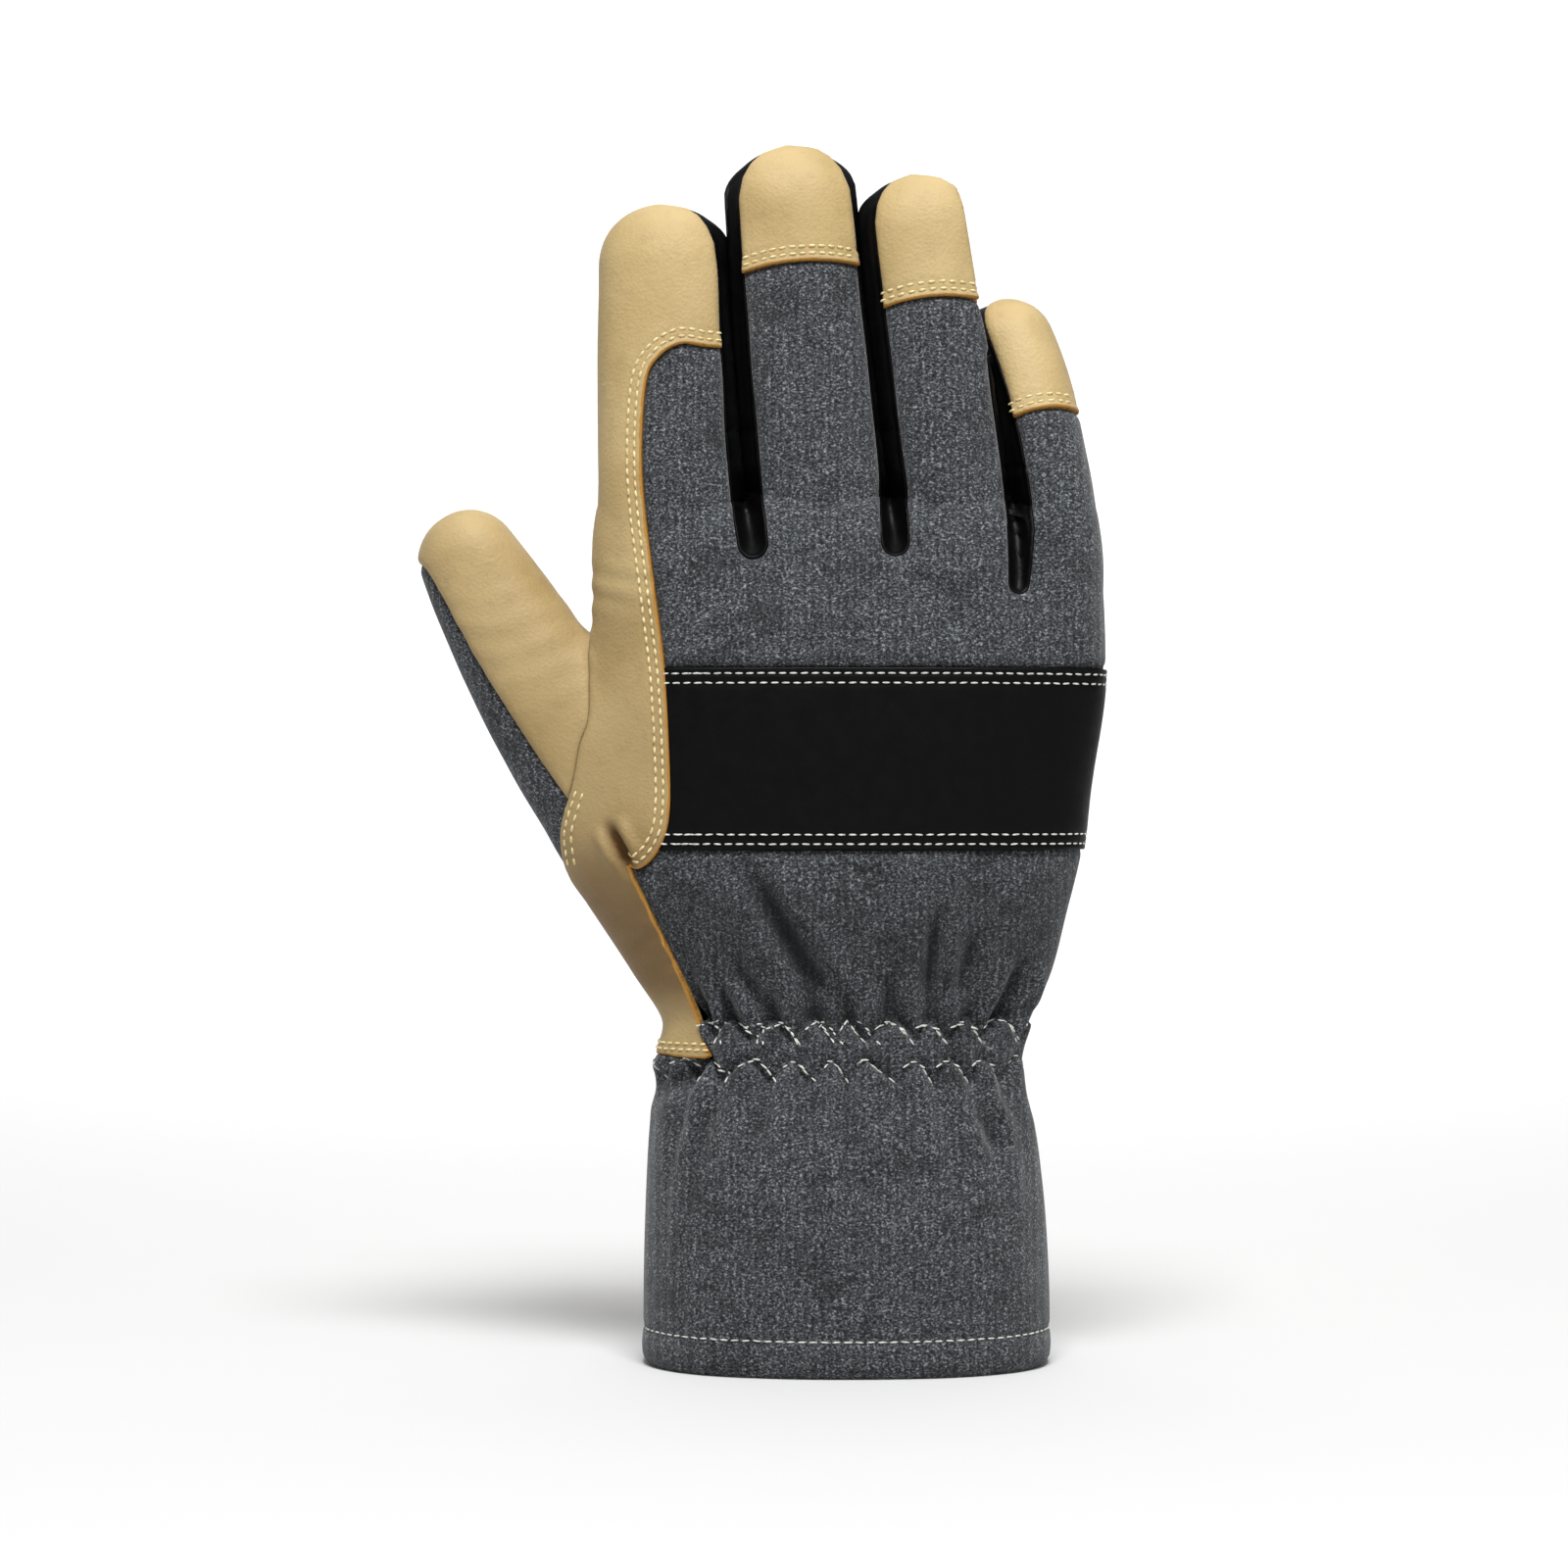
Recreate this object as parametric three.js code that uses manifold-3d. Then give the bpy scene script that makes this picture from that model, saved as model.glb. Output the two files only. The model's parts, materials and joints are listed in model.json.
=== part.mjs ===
// Arc flash work glove for the right hand: heathered cloth back and cuff, goatskin palm, thumb and
// finger caps, black leather fourchettes between the fingers and a black leather knuckle strap.
// It stands on its cuff with the fingers up. Millimetres, +Z up; the back of the hand faces -Y,
// the palm +Y, and the thumb points to -X. The glove is hollow down to every fingertip.
// Each panel is cut out of one hollow hand form along the seam lines, as a pattern is.

import * as THREE from "three";
import { mergeVertices } from "three/addons/utils/BufferGeometryUtils.js";
import Module from "manifold-3d";

const wasm = await Module();
wasm.setup();

// Lengths up the glove
const cuffLength = 72; // foot of the hem to the wrist elastic
const handLength = 131; // wrist elastic to the crotch line of the fingers
const strapFoot = 48; // wrist elastic to the lower edge of the knuckle strap
const strapWidth = 42;
const hemHeight = 9;

// Widths and depths, outside
const cuffWidth = 95;
const cuffDepth = 64;
const wristWidth = 84;
const handWidth = 118; // across the knuckles, thumb left out
const handDepth = 47;
const fingerDepth = 27;
const thumbDepth = 28;

// Cloth, leather and seams
const wall = 2.2; // outer cloth or leather with its lining
const leatherProud = 0.7; // lapped leather stands this much above the cloth
const hemFold = 1.2; // extra wall inside the folded hem
const capArch = 2; // rise of a finger cap's lower edge in its middle
const seamGap = 0.3; // left open between two panels
const gatherHeight = 1.1; // wrist gathers, ridge over the mean surface
const gatherCount = 14;
const sideSeamBack = 5; // side seam behind the middle of the finger, towards the palm

// Facets
const sidesPerGather = 4;
const handSides = gatherCount * sidesPerGather;
const cavitySides = handSides / 2;
const digitSides = 14;
const far = 400; // reach of a cutting region past the glove

// Fingers and thumb. rootAcross, rootWidth, tipWidth and swell, the extra width at mid length, are
// shares of handWidth. rootUp is a share of handLength above the wrist, lean is in degrees towards
// the thumb, and length runs from the root inside the hand to the tip. bow is sideways at mid length
// and curl is the tip's bend towards the palm. clothLeft and clothRight are the shares of the half
// width that the back strip covers on each side.
const digits = {
  index: {
    rootAcross: -0.333, rootUp: 0.87, lean: 2.1, length: 85.3, rootWidth: 0.296, tipWidth: 0.246,
    swell: 0, bow: -0.6, curl: 6, setBack: 0, clothLeft: 1.2, clothRight: 0.8, capLength: 34,
  },
  middle: {
    rootAcross: -0.042, rootUp: 0.87, lean: 5.2, length: 99.7, rootWidth: 0.284, tipWidth: 0.26,
    swell: 0, bow: -0.3, curl: 7, setBack: 0, clothLeft: 0.79, clothRight: 0.91, capLength: 28.8,
  },
  ring: {
    rootAcross: 0.22, rootUp: 0.87, lean: 6.7, length: 92.5, rootWidth: 0.237, tipWidth: 0.232,
    swell: 0, bow: 0, curl: 4, setBack: 0, clothLeft: 0.72, clothRight: 0.93, capLength: 30,
  },
  little: {
    rootAcross: 0.424, rootUp: 0.82, lean: 11.3, length: 71.8, rootWidth: 0.166, tipWidth: 0.158,
    swell: 0, bow: 3.4, curl: 17, setBack: 1.5, clothLeft: 0.58, clothRight: 1.2, capLength: 28.5,
  },
  thumb: {
    rootAcross: -0.39, rootUp: 0.344, lean: 31.2, length: 94.2, rootWidth: 0.28, tipWidth: 0.168,
    swell: 0.042, bow: -1, curl: 9, setBack: 4,
  },
};

// Sections of the hand. along is a share of handLength above the wrist. left and right are shares of
// the way from half the wrist's width to half the hand's width. back and palm are shares of half
// the hand's depth. gather is the share of gatherHeight there.
const handSections = [
  { along: 0.0, left: 0.1, right: -0.06, back: 0.96, palm: 0.98, gather: 1.0 },
  { along: 0.06, left: -0.02, right: 0.05, back: 0.95, palm: 0.98, gather: 1.0 },
  { along: 0.15, left: 0.34, right: 0.37, back: 0.96, palm: 1.02, gather: 0.55 },
  { along: 0.255, left: 0.77, right: 0.59, back: 0.97, palm: 1.1, gather: 0.2 },
  { along: 0.36, left: 1.25, right: 0.77, back: 0.96, palm: 1.15, gather: 0 },
  { along: 0.485, left: 1.2, right: 0.89, back: 0.94, palm: 1.12, gather: 0 },
  { along: 0.675, left: 1.03, right: 0.95, back: 0.9, palm: 1.02, gather: 0 },
  { along: 0.83, left: 0.94, right: 1.0, back: 0.79, palm: 0.86, gather: 0 },
  { along: 0.94, left: 0.88, right: 0.98, back: 0.64, palm: 0.67, gather: 0 },
  { along: 1.0, left: 0.7, right: 0.8, back: 0.42, palm: 0.45, gather: 0 },
];

// Sections of the cuff. along is a share of cuffLength above its foot, and flare the share of the
// way from the wrist's section to the cuff's full width and depth.
const cuffSections = [
  { along: 0.0, flare: 0.96, gather: 0 },
  { along: 0.05, flare: 1.0, gather: 0 },
  { along: 0.3, flare: 0.98, gather: 0 },
  { along: 0.6, flare: 0.78, gather: 0.12 },
  { along: 0.76, flare: 0.5, gather: 0.35 },
  { along: 0.9, flare: 0.1, gather: 0.9 },
];

// Long folds that fan out of the wrist over the back of the hand. across is a share of half the
// wrist's width, rise a share of handLength above the wrist, drift the sideways run at the top as a
// share of half the hand's width, and sink a share of gatherHeight.
const backFolds = [
  { across: -0.42, rise: 0.3, drift: -0.3, sink: 0.7 },
  { across: -0.02, rise: 0.42, drift: -0.32, sink: 0.9 },
  { across: 0.36, rise: 0.34, drift: -0.05, sink: 0.8 },
  { across: 0.66, rise: 0.26, drift: 0.12, sink: 0.7 },
];
const foldWidth = 4.5;

// Seam lines. across is a share of half the hand's width, up a share of handLength above the wrist,
// drop is in mm below the edge of the index finger's cap.
const wrapEdge = [
  { across: -0.802, up: 1.073 },
  { across: -0.789, up: 0.965 },
  { across: -0.745, up: 0.81 },
  { across: -0.706, up: 0.664 },
  { across: -0.687, up: 0.503 },
  { across: -0.69, up: 0.425 },
  { across: -0.718, up: 0.378 },
  { across: -0.78, up: 0.341 },
  { across: -0.842, up: 0.334 },
  { across: -0.889, up: 0.365 },
];
const wrapTop = [
  { across: -0.505, drop: 0.6 },
  { across: -0.65, drop: 0 },
  { across: -0.745, drop: 3.6 },
  { across: -0.787, drop: 9.6 },
];
const wristEdge = [
  { across: -0.846, up: 0.334 },
  { across: -0.735, up: 0.219 },
  { across: -0.644, up: 0.109 },
  { across: -0.552, up: 0.0 },
];
const thumbSeamBack = [
  { across: -1.001, up: 0.77 },
  { across: -1.02, up: 0.732 },
  { across: -1.015, up: 0.667 },
  { across: -1.017, up: 0.597 },
  { across: -1.051, up: 0.55 },
  { across: -1.08, up: 0.48 },
  { across: -1.132, up: 0.4 },
  { across: -1.122, up: 0.34 },
];
const thumbSeamPalm = [
  { across: -1.03, up: 0.8 },
  { across: -0.9, up: 0.7 },
  { across: -0.74, up: 0.58 },
  { across: -0.72, up: 0.47 },
  { across: -0.84, up: 0.37 },
  { across: -1.04, up: 0.3 },
];
// The thumb's cloth strip starts at this share of the half width, along the thumb's length.
const thumbCloth = [
  { along: -0.1, edge: 0.33 },
  { along: 0.24, edge: 0.46 },
  { along: 0.56, edge: 0.59 },
  { along: 0.88, edge: 0.76 },
  { along: 0.96, edge: 1.1 },
];
// The black tongue at the foot of each slot on the back of the hand. across is a share of half the
// hand's width, foot a share of handLength above the wrist, halfWidth a share of the wall.
const slots = [
  { left: "index", right: "middle", across: -0.368, foot: 0.88, halfWidth: 1.55 },
  { left: "middle", right: "ring", across: 0.19, foot: 0.884, halfWidth: 1.45 },
  { left: "ring", right: "little", across: 0.675, foot: 0.817, halfWidth: 1.15 },
];
const slotMerge = 14; // height over which a tongue widens into the gap between two fingers
const fingerBase = 0.9; // seam between palm and finger fronts, a share of handLength above the wrist

const sectionPower = 2.3; // 2 is an ellipse, more is boxier
const domePower = 2.2;

// A surface geometry as a solid that can be joined and cut
function solidOf(geometry) {
  const plain = geometry.clone();
  plain.deleteAttribute("normal");
  plain.deleteAttribute("uv");
  const merged = mergeVertices(plain, 1e-4);
  return new wasm.Manifold(
    new wasm.Mesh({
      numProp: 3,
      vertProperties: merged.attributes.position.array,
      triVerts: new Uint32Array(merged.index.array),
    }),
  );
}

// A solid as a geometry again
function geometryOf(solid) {
  const mesh = solid.getMesh();
  const geometry = new THREE.BufferGeometry();
  geometry.setAttribute("position", new THREE.BufferAttribute(mesh.vertProperties, 3));
  geometry.setIndex(new THREE.BufferAttribute(mesh.triVerts, 1));
  geometry.computeVertexNormals();
  return geometry;
}

function largestBody(solid) {
  return solid.decompose().reduce((a, b) => (a.volume() > b.volume() ? a : b));
}

function joined(solids) {
  return solids.reduce((a, b) => a.add(b));
}

// A closed skin over a stack of rings with equally many points, from the lowest to the highest
function loft(rings) {
  const sides = rings[0].length;
  const points = rings.flat();
  const index = [];
  for (let r = 0; r < rings.length - 1; r++) {
    for (let s = 0; s < sides; s++) {
      const a = r * sides + s;
      const b = r * sides + ((s + 1) % sides);
      index.push(a, b, b + sides, a, b + sides, a + sides);
    }
  }
  const closeEnd = (ringPoints, first, up) => {
    const sum = ringPoints.reduce((total, p) => total.add(p), new THREE.Vector3());
    points.push(sum.divideScalar(sides));
    for (let s = 0; s < sides; s++) {
      const pair = [first + s, first + ((s + 1) % sides)];
      index.push(...(up ? pair : pair.reverse()), points.length - 1);
    }
  };
  closeEnd(rings[0], 0, false);
  closeEnd(rings.at(-1), (rings.length - 1) * sides, true);
  return new THREE.BufferGeometry().setFromPoints(points).setIndex(index);
}

// Points round a rounded-box section, anticlockwise from above
function ring({ x, y, z, left, right, back, palm }, sides, shiftAt = () => 0) {
  return Array.from({ length: sides }, (_, i) => {
    const angle = (2 * Math.PI * i) / sides;
    const [c, s] = [Math.cos(angle), Math.sin(angle)];
    const across = Math.sign(c) * Math.abs(c) ** (2 / sectionPower);
    const deep = Math.sign(s) * Math.abs(s) ** (2 / sectionPower);
    const point = new THREE.Vector3(
      x + across * (c > 0 ? right : left),
      y + deep * (s > 0 ? palm : back),
      z,
    );
    return point.add(new THREE.Vector3(c, s, 0).multiplyScalar(shiftAt(i, point)));
  });
}

const mix = THREE.MathUtils.lerp;
const radians = THREE.MathUtils.degToRad;

// Half sizes of the hand and cuff at each section
function bodySections() {
  const handRows = handSections.map((row) => ({
    x: 0,
    y: 0,
    z: cuffLength + row.along * handLength,
    left: mix(wristWidth, handWidth, row.left) / 2,
    right: mix(wristWidth, handWidth, row.right) / 2,
    back: (row.back * handDepth) / 2,
    palm: (row.palm * handDepth) / 2,
    gather: row.gather,
  }));
  const wrist = handRows[0];
  const cuffRows = cuffSections.map((row) => ({
    x: 0,
    y: 0,
    z: row.along * cuffLength,
    left: mix(wrist.left, cuffWidth / 2, row.flare),
    right: mix(wrist.right, cuffWidth / 2, row.flare),
    back: mix(wrist.back, cuffDepth / 2, row.flare),
    palm: mix(wrist.palm, cuffDepth / 2, row.flare),
    gather: row.gather,
  }));
  return [...cuffRows, ...handRows];
}

function grown(row, by) {
  return {
    ...row,
    left: row.left + by,
    right: row.right + by,
    back: row.back + by,
    palm: row.palm + by,
  };
}

// How far the long folds sink and raise the cloth at a point on the back of the hand
function foldShift(point) {
  const up = (point.z - cuffLength) / handLength;
  if (point.y > 0 || up < 0) return 0;
  return backFolds.reduce((sum, fold) => {
    const along = up / fold.rise;
    const middle = (fold.across * wristWidth + fold.drift * along * handWidth) / 2;
    const fade = Math.max(0, 1 - along * along);
    const bell = (offset) => Math.exp(-(((point.x - middle) / foldWidth - offset) ** 2));
    return sum + fold.sink * gatherHeight * fade * (0.7 * bell(-1.6) + 0.7 * bell(1.6) - bell(0));
  }, 0);
}

// Outer form of the cuff and hand, closed above the crotch line
function bodyForm(grow) {
  const rings = bodySections().map((row) => {
    const wave = (i) => Math.cos((2 * Math.PI * i) / sidesPerGather) * row.gather * gatherHeight;
    return ring(grown(row, grow), handSides, (i, point) => wave(i) + foldShift(point));
  });
  return solidOf(loft(rings));
}

// Inside of the cuff and hand, open at the foot and narrower in the hem and behind the gathers
function bodyCavity() {
  const rows = bodySections().map((row) => grown(row, -wall - row.gather * gatherHeight));
  const hem = grown(rows[1], -hemFold);
  const mouth = [
    { ...hem, z: -hemHeight },
    { ...hem, z: hemHeight },
    { ...rows[1], z: hemHeight + hemFold },
  ];
  const above = rows.filter((row) => row.z > hemHeight + hemFold);
  const last = above.at(-1);
  const stack = [...mouth, ...above.slice(0, -1), { ...last, z: last.z - wall }];
  return solidOf(loft(stack.map((row) => ring(row, cavitySides))));
}

// Half width of a digit at a share of its length, and the share of it that is left in the round end
function digitHalf(digit, share) {
  const swell = digit.swell * 4 * share * (1 - share);
  return ((mix(digit.rootWidth, digit.tipWidth, share) + swell) * handWidth) / 2;
}

function domeShare(digit) {
  return digitHalf(digit, 1) / digit.length;
}

function domeScale(digit, share) {
  const dome = domeShare(digit);
  const into = Math.min(1, Math.max(0, (share - 1 + dome) / dome));
  return (1 - into ** domePower) ** (1 / domePower);
}

// Shares of the length at which a digit gets a ring: three up the shaft, then closer over the end
function digitStations(digit) {
  const dome = domeShare(digit);
  const shaft = [0, 0.35, 0.7, 1].map((share) => share * (1 - dome));
  const end = [30, 52, 70, 83].map((degrees) => 1 - dome + dome * Math.sin(radians(degrees)));
  return [...shaft, ...end];
}

// From a digit's own frame, upright on its root, to the glove's frame
function digitFrame(digit) {
  const up = cuffLength + digit.rootUp * handLength;
  return new THREE.Matrix4()
    .makeTranslation(digit.rootAcross * handWidth, digit.setBack, up)
    .multiply(new THREE.Matrix4().makeRotationY(-radians(digit.lean)));
}

// The middle line of a digit in its own frame
function digitMiddle(digit, share) {
  return {
    x: digit.bow * 4 * share * (1 - share),
    y: digit.curl * share * share,
    z: digit.length * share,
  };
}

function digitForm(name, grow) {
  const digit = digits[name];
  const depth = name === "thumb" ? thumbDepth : fingerDepth;
  const rings = digitStations(digit).map((share) => {
    const dome = domeScale(digit, share);
    const across = (digitHalf(digit, share) + grow) * dome;
    const deep = ((mix(1, 0.9, share) * depth) / 2 + grow) * dome;
    const middle = digitMiddle(digit, share);
    const z = middle.z * (1 + grow / digit.length);
    return ring({ ...middle, z, left: across, right: across, back: deep, palm: deep }, digitSides);
  });
  return solidOf(loft(rings).applyMatrix4(digitFrame(digit)));
}

const digitNames = Object.keys(digits);
const fingerNames = digitNames.filter((name) => name !== "thumb");
const cavity = joined([bodyCavity(), ...digitNames.map((name) => digitForm(name, -wall))]);
const shellOf = (grow) =>
  joined([bodyForm(grow), ...digitNames.map((name) => digitForm(name, grow))]).subtract(cavity);
const clothShell = shellOf(0);
const leatherShell = shellOf(leatherProud);

// A region of outline (x, z), seen from the back of the hand, between two depths
function prism(outline, from = -far, to = far) {
  const shape = new THREE.Shape(outline.map(([x, z]) => new THREE.Vector2(x, z)));
  const geometry = new THREE.ExtrudeGeometry(shape, { depth: to - from, bevelEnabled: false });
  return solidOf(geometry.rotateX(Math.PI / 2).translate(0, to, 0));
}

function band(low, high) {
  return prism([[-far, low], [far, low], [far, high], [-far, high]]);
}

const place = ({ across, up }) => [(across * handWidth) / 2, cuffLength + up * handLength];

// A smooth line through a few points
function smooth(points, count) {
  const curve = new THREE.SplineCurve(points.map(([x, z]) => new THREE.Vector2(x, z)));
  return curve.getPoints(count).map((p) => [p.x, p.y]);
}

// A line along a digit at a share of its half width, moved sideways, from a height above its root
function digitLine(digit, edge, from, shift) {
  const frame = digitFrame(digit);
  const low = from / digit.length;
  const high = 1 - wall / digit.length;
  return [0, 0.3, 0.6, 0.8, 0.9, 0.97, 1].map((step) => {
    const share = mix(low, high, step);
    const middle = digitMiddle(digit, share);
    const x = middle.x + edge * digitHalf(digit, share) * domeScale(digit, share) + shift;
    const p = new THREE.Vector3(x, 0, middle.z).applyMatrix4(frame);
    return [p.x, p.z];
  });
}

// The fourchette between two fingers: a tongue on the hand that opens into the gap between them
function slotRegion(slot, grow) {
  const [leftDigit, rightDigit] = [digits[slot.left], digits[slot.right]];
  const [x, z] = place({ across: slot.across, up: slot.foot });
  const half = slot.halfWidth * wall + grow;
  const middle = z + slot.halfWidth * wall;
  const startOf = (digit) => middle + slotMerge - cuffLength - digit.rootUp * handLength;
  const leftLine = digitLine(leftDigit, leftDigit.clothRight, startOf(leftDigit), -grow);
  const rightLine = digitLine(rightDigit, -rightDigit.clothLeft, startOf(rightDigit), grow);
  const foot = [180, 225, 270, 315, 360].map((degrees) => [
    x + half * Math.cos(radians(degrees)),
    middle + half * Math.sin(radians(degrees)),
  ]);
  const roof = [
    [rightLine.at(-1)[0], far],
    [leftLine.at(-1)[0], far],
  ];
  return prism([...foot, ...rightLine, ...roof, ...leftLine.reverse()]);
}

// The line up the middle of the gap between two fingers
function gapLine(slot) {
  const [, foot] = place({ across: slot.across, up: slot.foot });
  const edgeAt = (digit, side, z) => {
    const up = z - cuffLength - digit.rootUp * handLength;
    const share = up / Math.cos(radians(digit.lean)) / digit.length;
    const x = digitMiddle(digit, share).x + side * digitHalf(digit, share);
    return digit.rootAcross * handWidth + x - up * Math.tan(radians(digit.lean));
  };
  const [leftDigit, rightDigit] = [digits[slot.left], digits[slot.right]];
  const rootZ = cuffLength + fingerBase * handLength;
  const topOf = (digit) => cuffLength + digit.rootUp * handLength + digit.length;
  const tipZ = Math.min(topOf(leftDigit), topOf(rightDigit));
  const line = [0, 0.3, 0.6, 1].map((share) => {
    const z = mix(rootZ, tipZ, share);
    return [(edgeAt(leftDigit, 1, z) + edgeAt(rightDigit, -1, z)) / 2, z];
  });
  return [[line[0][0], foot - far], ...line, [line.at(-1)[0], far]];
}

// Everything nearer to one finger than to its neighbours, shrunk by a margin on both sides
function column(name, margin) {
  const leftSlot = slots.find((slot) => slot.right === name);
  const rightSlot = slots.find((slot) => slot.left === name);
  const leftLine = leftSlot ? gapLine(leftSlot) : [[-far, -far], [-far, far]];
  const rightLine = rightSlot ? gapLine(rightSlot) : [[far, -far], [far, far]];
  const moved = (line, by) => line.map(([x, z]) => [x + by, z]);
  return prism([...moved(rightLine, -margin), ...moved(leftLine, margin).reverse()]);
}

// Everything behind a finger's side seams, which follow its curl
function fingerFront(name, grow) {
  const digit = digits[name];
  const frame = digitFrame(digit);
  const seam = [0, 0.3, 0.55, 0.8, 1, 1.3].map((share) => {
    const middle = digitMiddle(digit, share);
    const p = new THREE.Vector3(0, middle.y, middle.z).applyMatrix4(frame);
    return new THREE.Vector2(p.y + sideSeamBack - grow, p.z);
  });
  const low = new THREE.Vector2(seam[0].x, -far);
  const outline = [low, ...seam, new THREE.Vector2(far, seam.at(-1).y), new THREE.Vector2(far, -far)];
  const block = new THREE.ExtrudeGeometry(new THREE.Shape(outline.reverse()), {
    depth: 2 * far,
    bevelEnabled: false,
  });
  return solidOf(block.rotateX(Math.PI / 2).rotateZ(Math.PI / 2).translate(-far, 0, 0));
}

// The palm side of the whole hand, below the fronts of the fingers
function handFront(grow) {
  return prism([[-far, -far], [far, -far], [far, far], [-far, far]], sideSeamBack - grow, far);
}

// Everything left of a border that is moved across, between two heights
function leftOf(line, by, floor, ceiling) {
  const border = line.map(([x, z]) => [x + by, z]);
  const [low, high] = [border[0][0], border.at(-1)[0]];
  return [[-far, floor], [low, floor], ...border, [high, ceiling], [-far, ceiling]];
}

// The thumb, left of its seam, which runs differently on the back and on the palm
function thumbRegion(grow) {
  const floor = place(thumbSeamPalm.at(-1))[1] - wall - grow;
  const seamOn = (points) => leftOf(smooth(points.map(place), 10).reverse(), grow, floor, far);
  const back = prism(seamOn(thumbSeamBack), -far, sideSeamBack);
  return back.add(prism(seamOn(thumbSeamPalm), sideSeamBack - wall, far));
}

// The cloth strip down the outer edge of the thumb
function thumbClothRegion(grow) {
  const digit = digits.thumb;
  const line = thumbCloth.map(({ along, edge }) => {
    const middle = digitMiddle(digit, along);
    const x = middle.x - edge * digitHalf(digit, along) + grow;
    const p = new THREE.Vector3(x, 0, middle.z).applyMatrix4(digitFrame(digit));
    return [p.x, p.z];
  });
  return prism([[-far, line[0][1]], ...smooth(line, 8), [-far, line.at(-1)[1]]]);
}

// The leather over the index finger: tip cap, outer strip and round-ended tab beside the strap
function wrapRegion(grow) {
  const digit = digits.index;
  const capZ = cuffLength + digit.rootUp * handLength + digit.length - digit.capLength;
  const arc = wrapTop.map(({ across, drop }) => [(across * handWidth) / 2, capZ - drop]);
  const border = smooth([[0, capZ], ...arc, ...wrapEdge.map(place)], 40);
  const floor = place(wrapEdge.at(-1))[1] - grow;
  const moved = border.map(([x, z], i) => {
    const [before, after] = [border[Math.max(0, i - 1)], border[Math.min(border.length - 1, i + 1)]];
    const along = new THREE.Vector2(after[0] - before[0], after[1] - before[1]).normalize();
    return [x - along.y * grow, z + along.x * grow];
  });
  return prism([[0, far], [-far, far], [-far, floor], [moved.at(-1)[0], floor], ...moved.reverse()]);
}

// The strip of palm leather that shows on the back, from the tab down to the wrist
function sideStripRegion(grow) {
  const corner = [place(wristEdge[0])[0], place(wrapEdge.at(-1))[1]];
  const border = smooth([corner, ...wristEdge.map(place)], 10);
  const top = border[0][1];
  return prism(leftOf(border.reverse(), grow, -far, top), -far, sideSeamBack + wall);
}

// A finger's tip cap on the back: the cloth ends in a shallow arch
function capRegion(name, grow) {
  const digit = digits[name];
  const share = 1 - digit.capLength / digit.length;
  const middle = digitMiddle(digit, share);
  const half = digitHalf(digit, share);
  const arch = [-1.6, -1, -0.5, 0, 0.5, 1, 1.6].map((side) => {
    const z = middle.z - capArch * side * side - grow;
    return new THREE.Vector3(middle.x + side * half, 0, z).applyMatrix4(digitFrame(digit));
  });
  const border = arch.map((p) => [p.x, p.z]);
  return prism([...border, [border.at(-1)[0], far], [border[0][0], far]]);
}

const half = seamGap / 2;
const baseZ = cuffLength + fingerBase * handLength;
const strapZ = cuffLength + strapFoot;
const aboveWrist = band(cuffLength + half, far);
const cloth = clothShell.intersect(aboveWrist);
const leather = leatherShell.intersect(aboveWrist);

// What the other panels leave to the back of the hand and fingers
const columns = fingerNames.map((name) => ({ name, region: column(name, 0) }));
const fronts = joined([
  handFront(half).intersect(band(-far, baseZ)),
  ...columns.map(({ name, region }) =>
    fingerFront(name, half).intersect(region).intersect(band(baseZ - seamGap, far)),
  ),
]);
const thumbGrown = thumbRegion(half);
const backOf = (solid) => solid.subtract(fronts).subtract(thumbGrown);
const wrapGrown = wrapRegion(half).intersect(column("index", 0));
const slotsGrown = joined(slots.map((slot) => slotRegion(slot, half)));
const capNames = fingerNames.filter((name) => name !== "index");
const capsGrown = joined(
  capNames.map((name) => capRegion(name, half).intersect(column(name, 0))),
);
const backCloth = backOf(cloth).subtract(wrapGrown);

const panels = {
  cuff: clothShell.intersect(band(-far, cuffLength - half)),
  back_lower: backCloth
    .intersect(band(cuffLength, strapZ - half))
    .subtract(sideStripRegion(half)),
  knuckle_strap: backOf(leather)
    .intersect(band(strapZ + half, strapZ + strapWidth - half))
    .subtract(wrapGrown)
    .subtract(sideStripRegion(half)),
  back_upper: backCloth
    .intersect(band(strapZ + strapWidth + half, far))
    .subtract(slotsGrown)
    .subtract(capsGrown),
  index_wrap: backOf(leather)
    .intersect(wrapRegion(-half))
    .intersect(column("index", 0))
    .subtract(slotsGrown),
  thumb_leather: leather.intersect(thumbRegion(-half)).subtract(thumbClothRegion(half)),
  thumb_back: cloth.intersect(thumbRegion(-half)).intersect(thumbClothRegion(-half)),
  palm: leather
    .intersect(handFront(-half).add(sideStripRegion(-half)))
    .intersect(band(cuffLength, baseZ - half))
    .subtract(thumbGrown)
    .subtract(wrapGrown.subtract(handFront(half))),
};
for (const slot of slots) {
  const name = `fourchette_${slot.left}_${slot.right}`;
  panels[name] = backOf(cloth).intersect(slotRegion(slot, -half));
}
for (const name of capNames) {
  const cap = backOf(leather).intersect(capRegion(name, -half)).intersect(column(name, half));
  panels[`${name}_cap`] = cap.subtract(slotsGrown);
}
for (const name of fingerNames) {
  panels[`${name}_front`] = leather
    .subtract(thumbGrown)
    .intersect(fingerFront(name, -half))
    .intersect(column(name, half))
    .intersect(band(baseZ + half, far));
}

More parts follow.
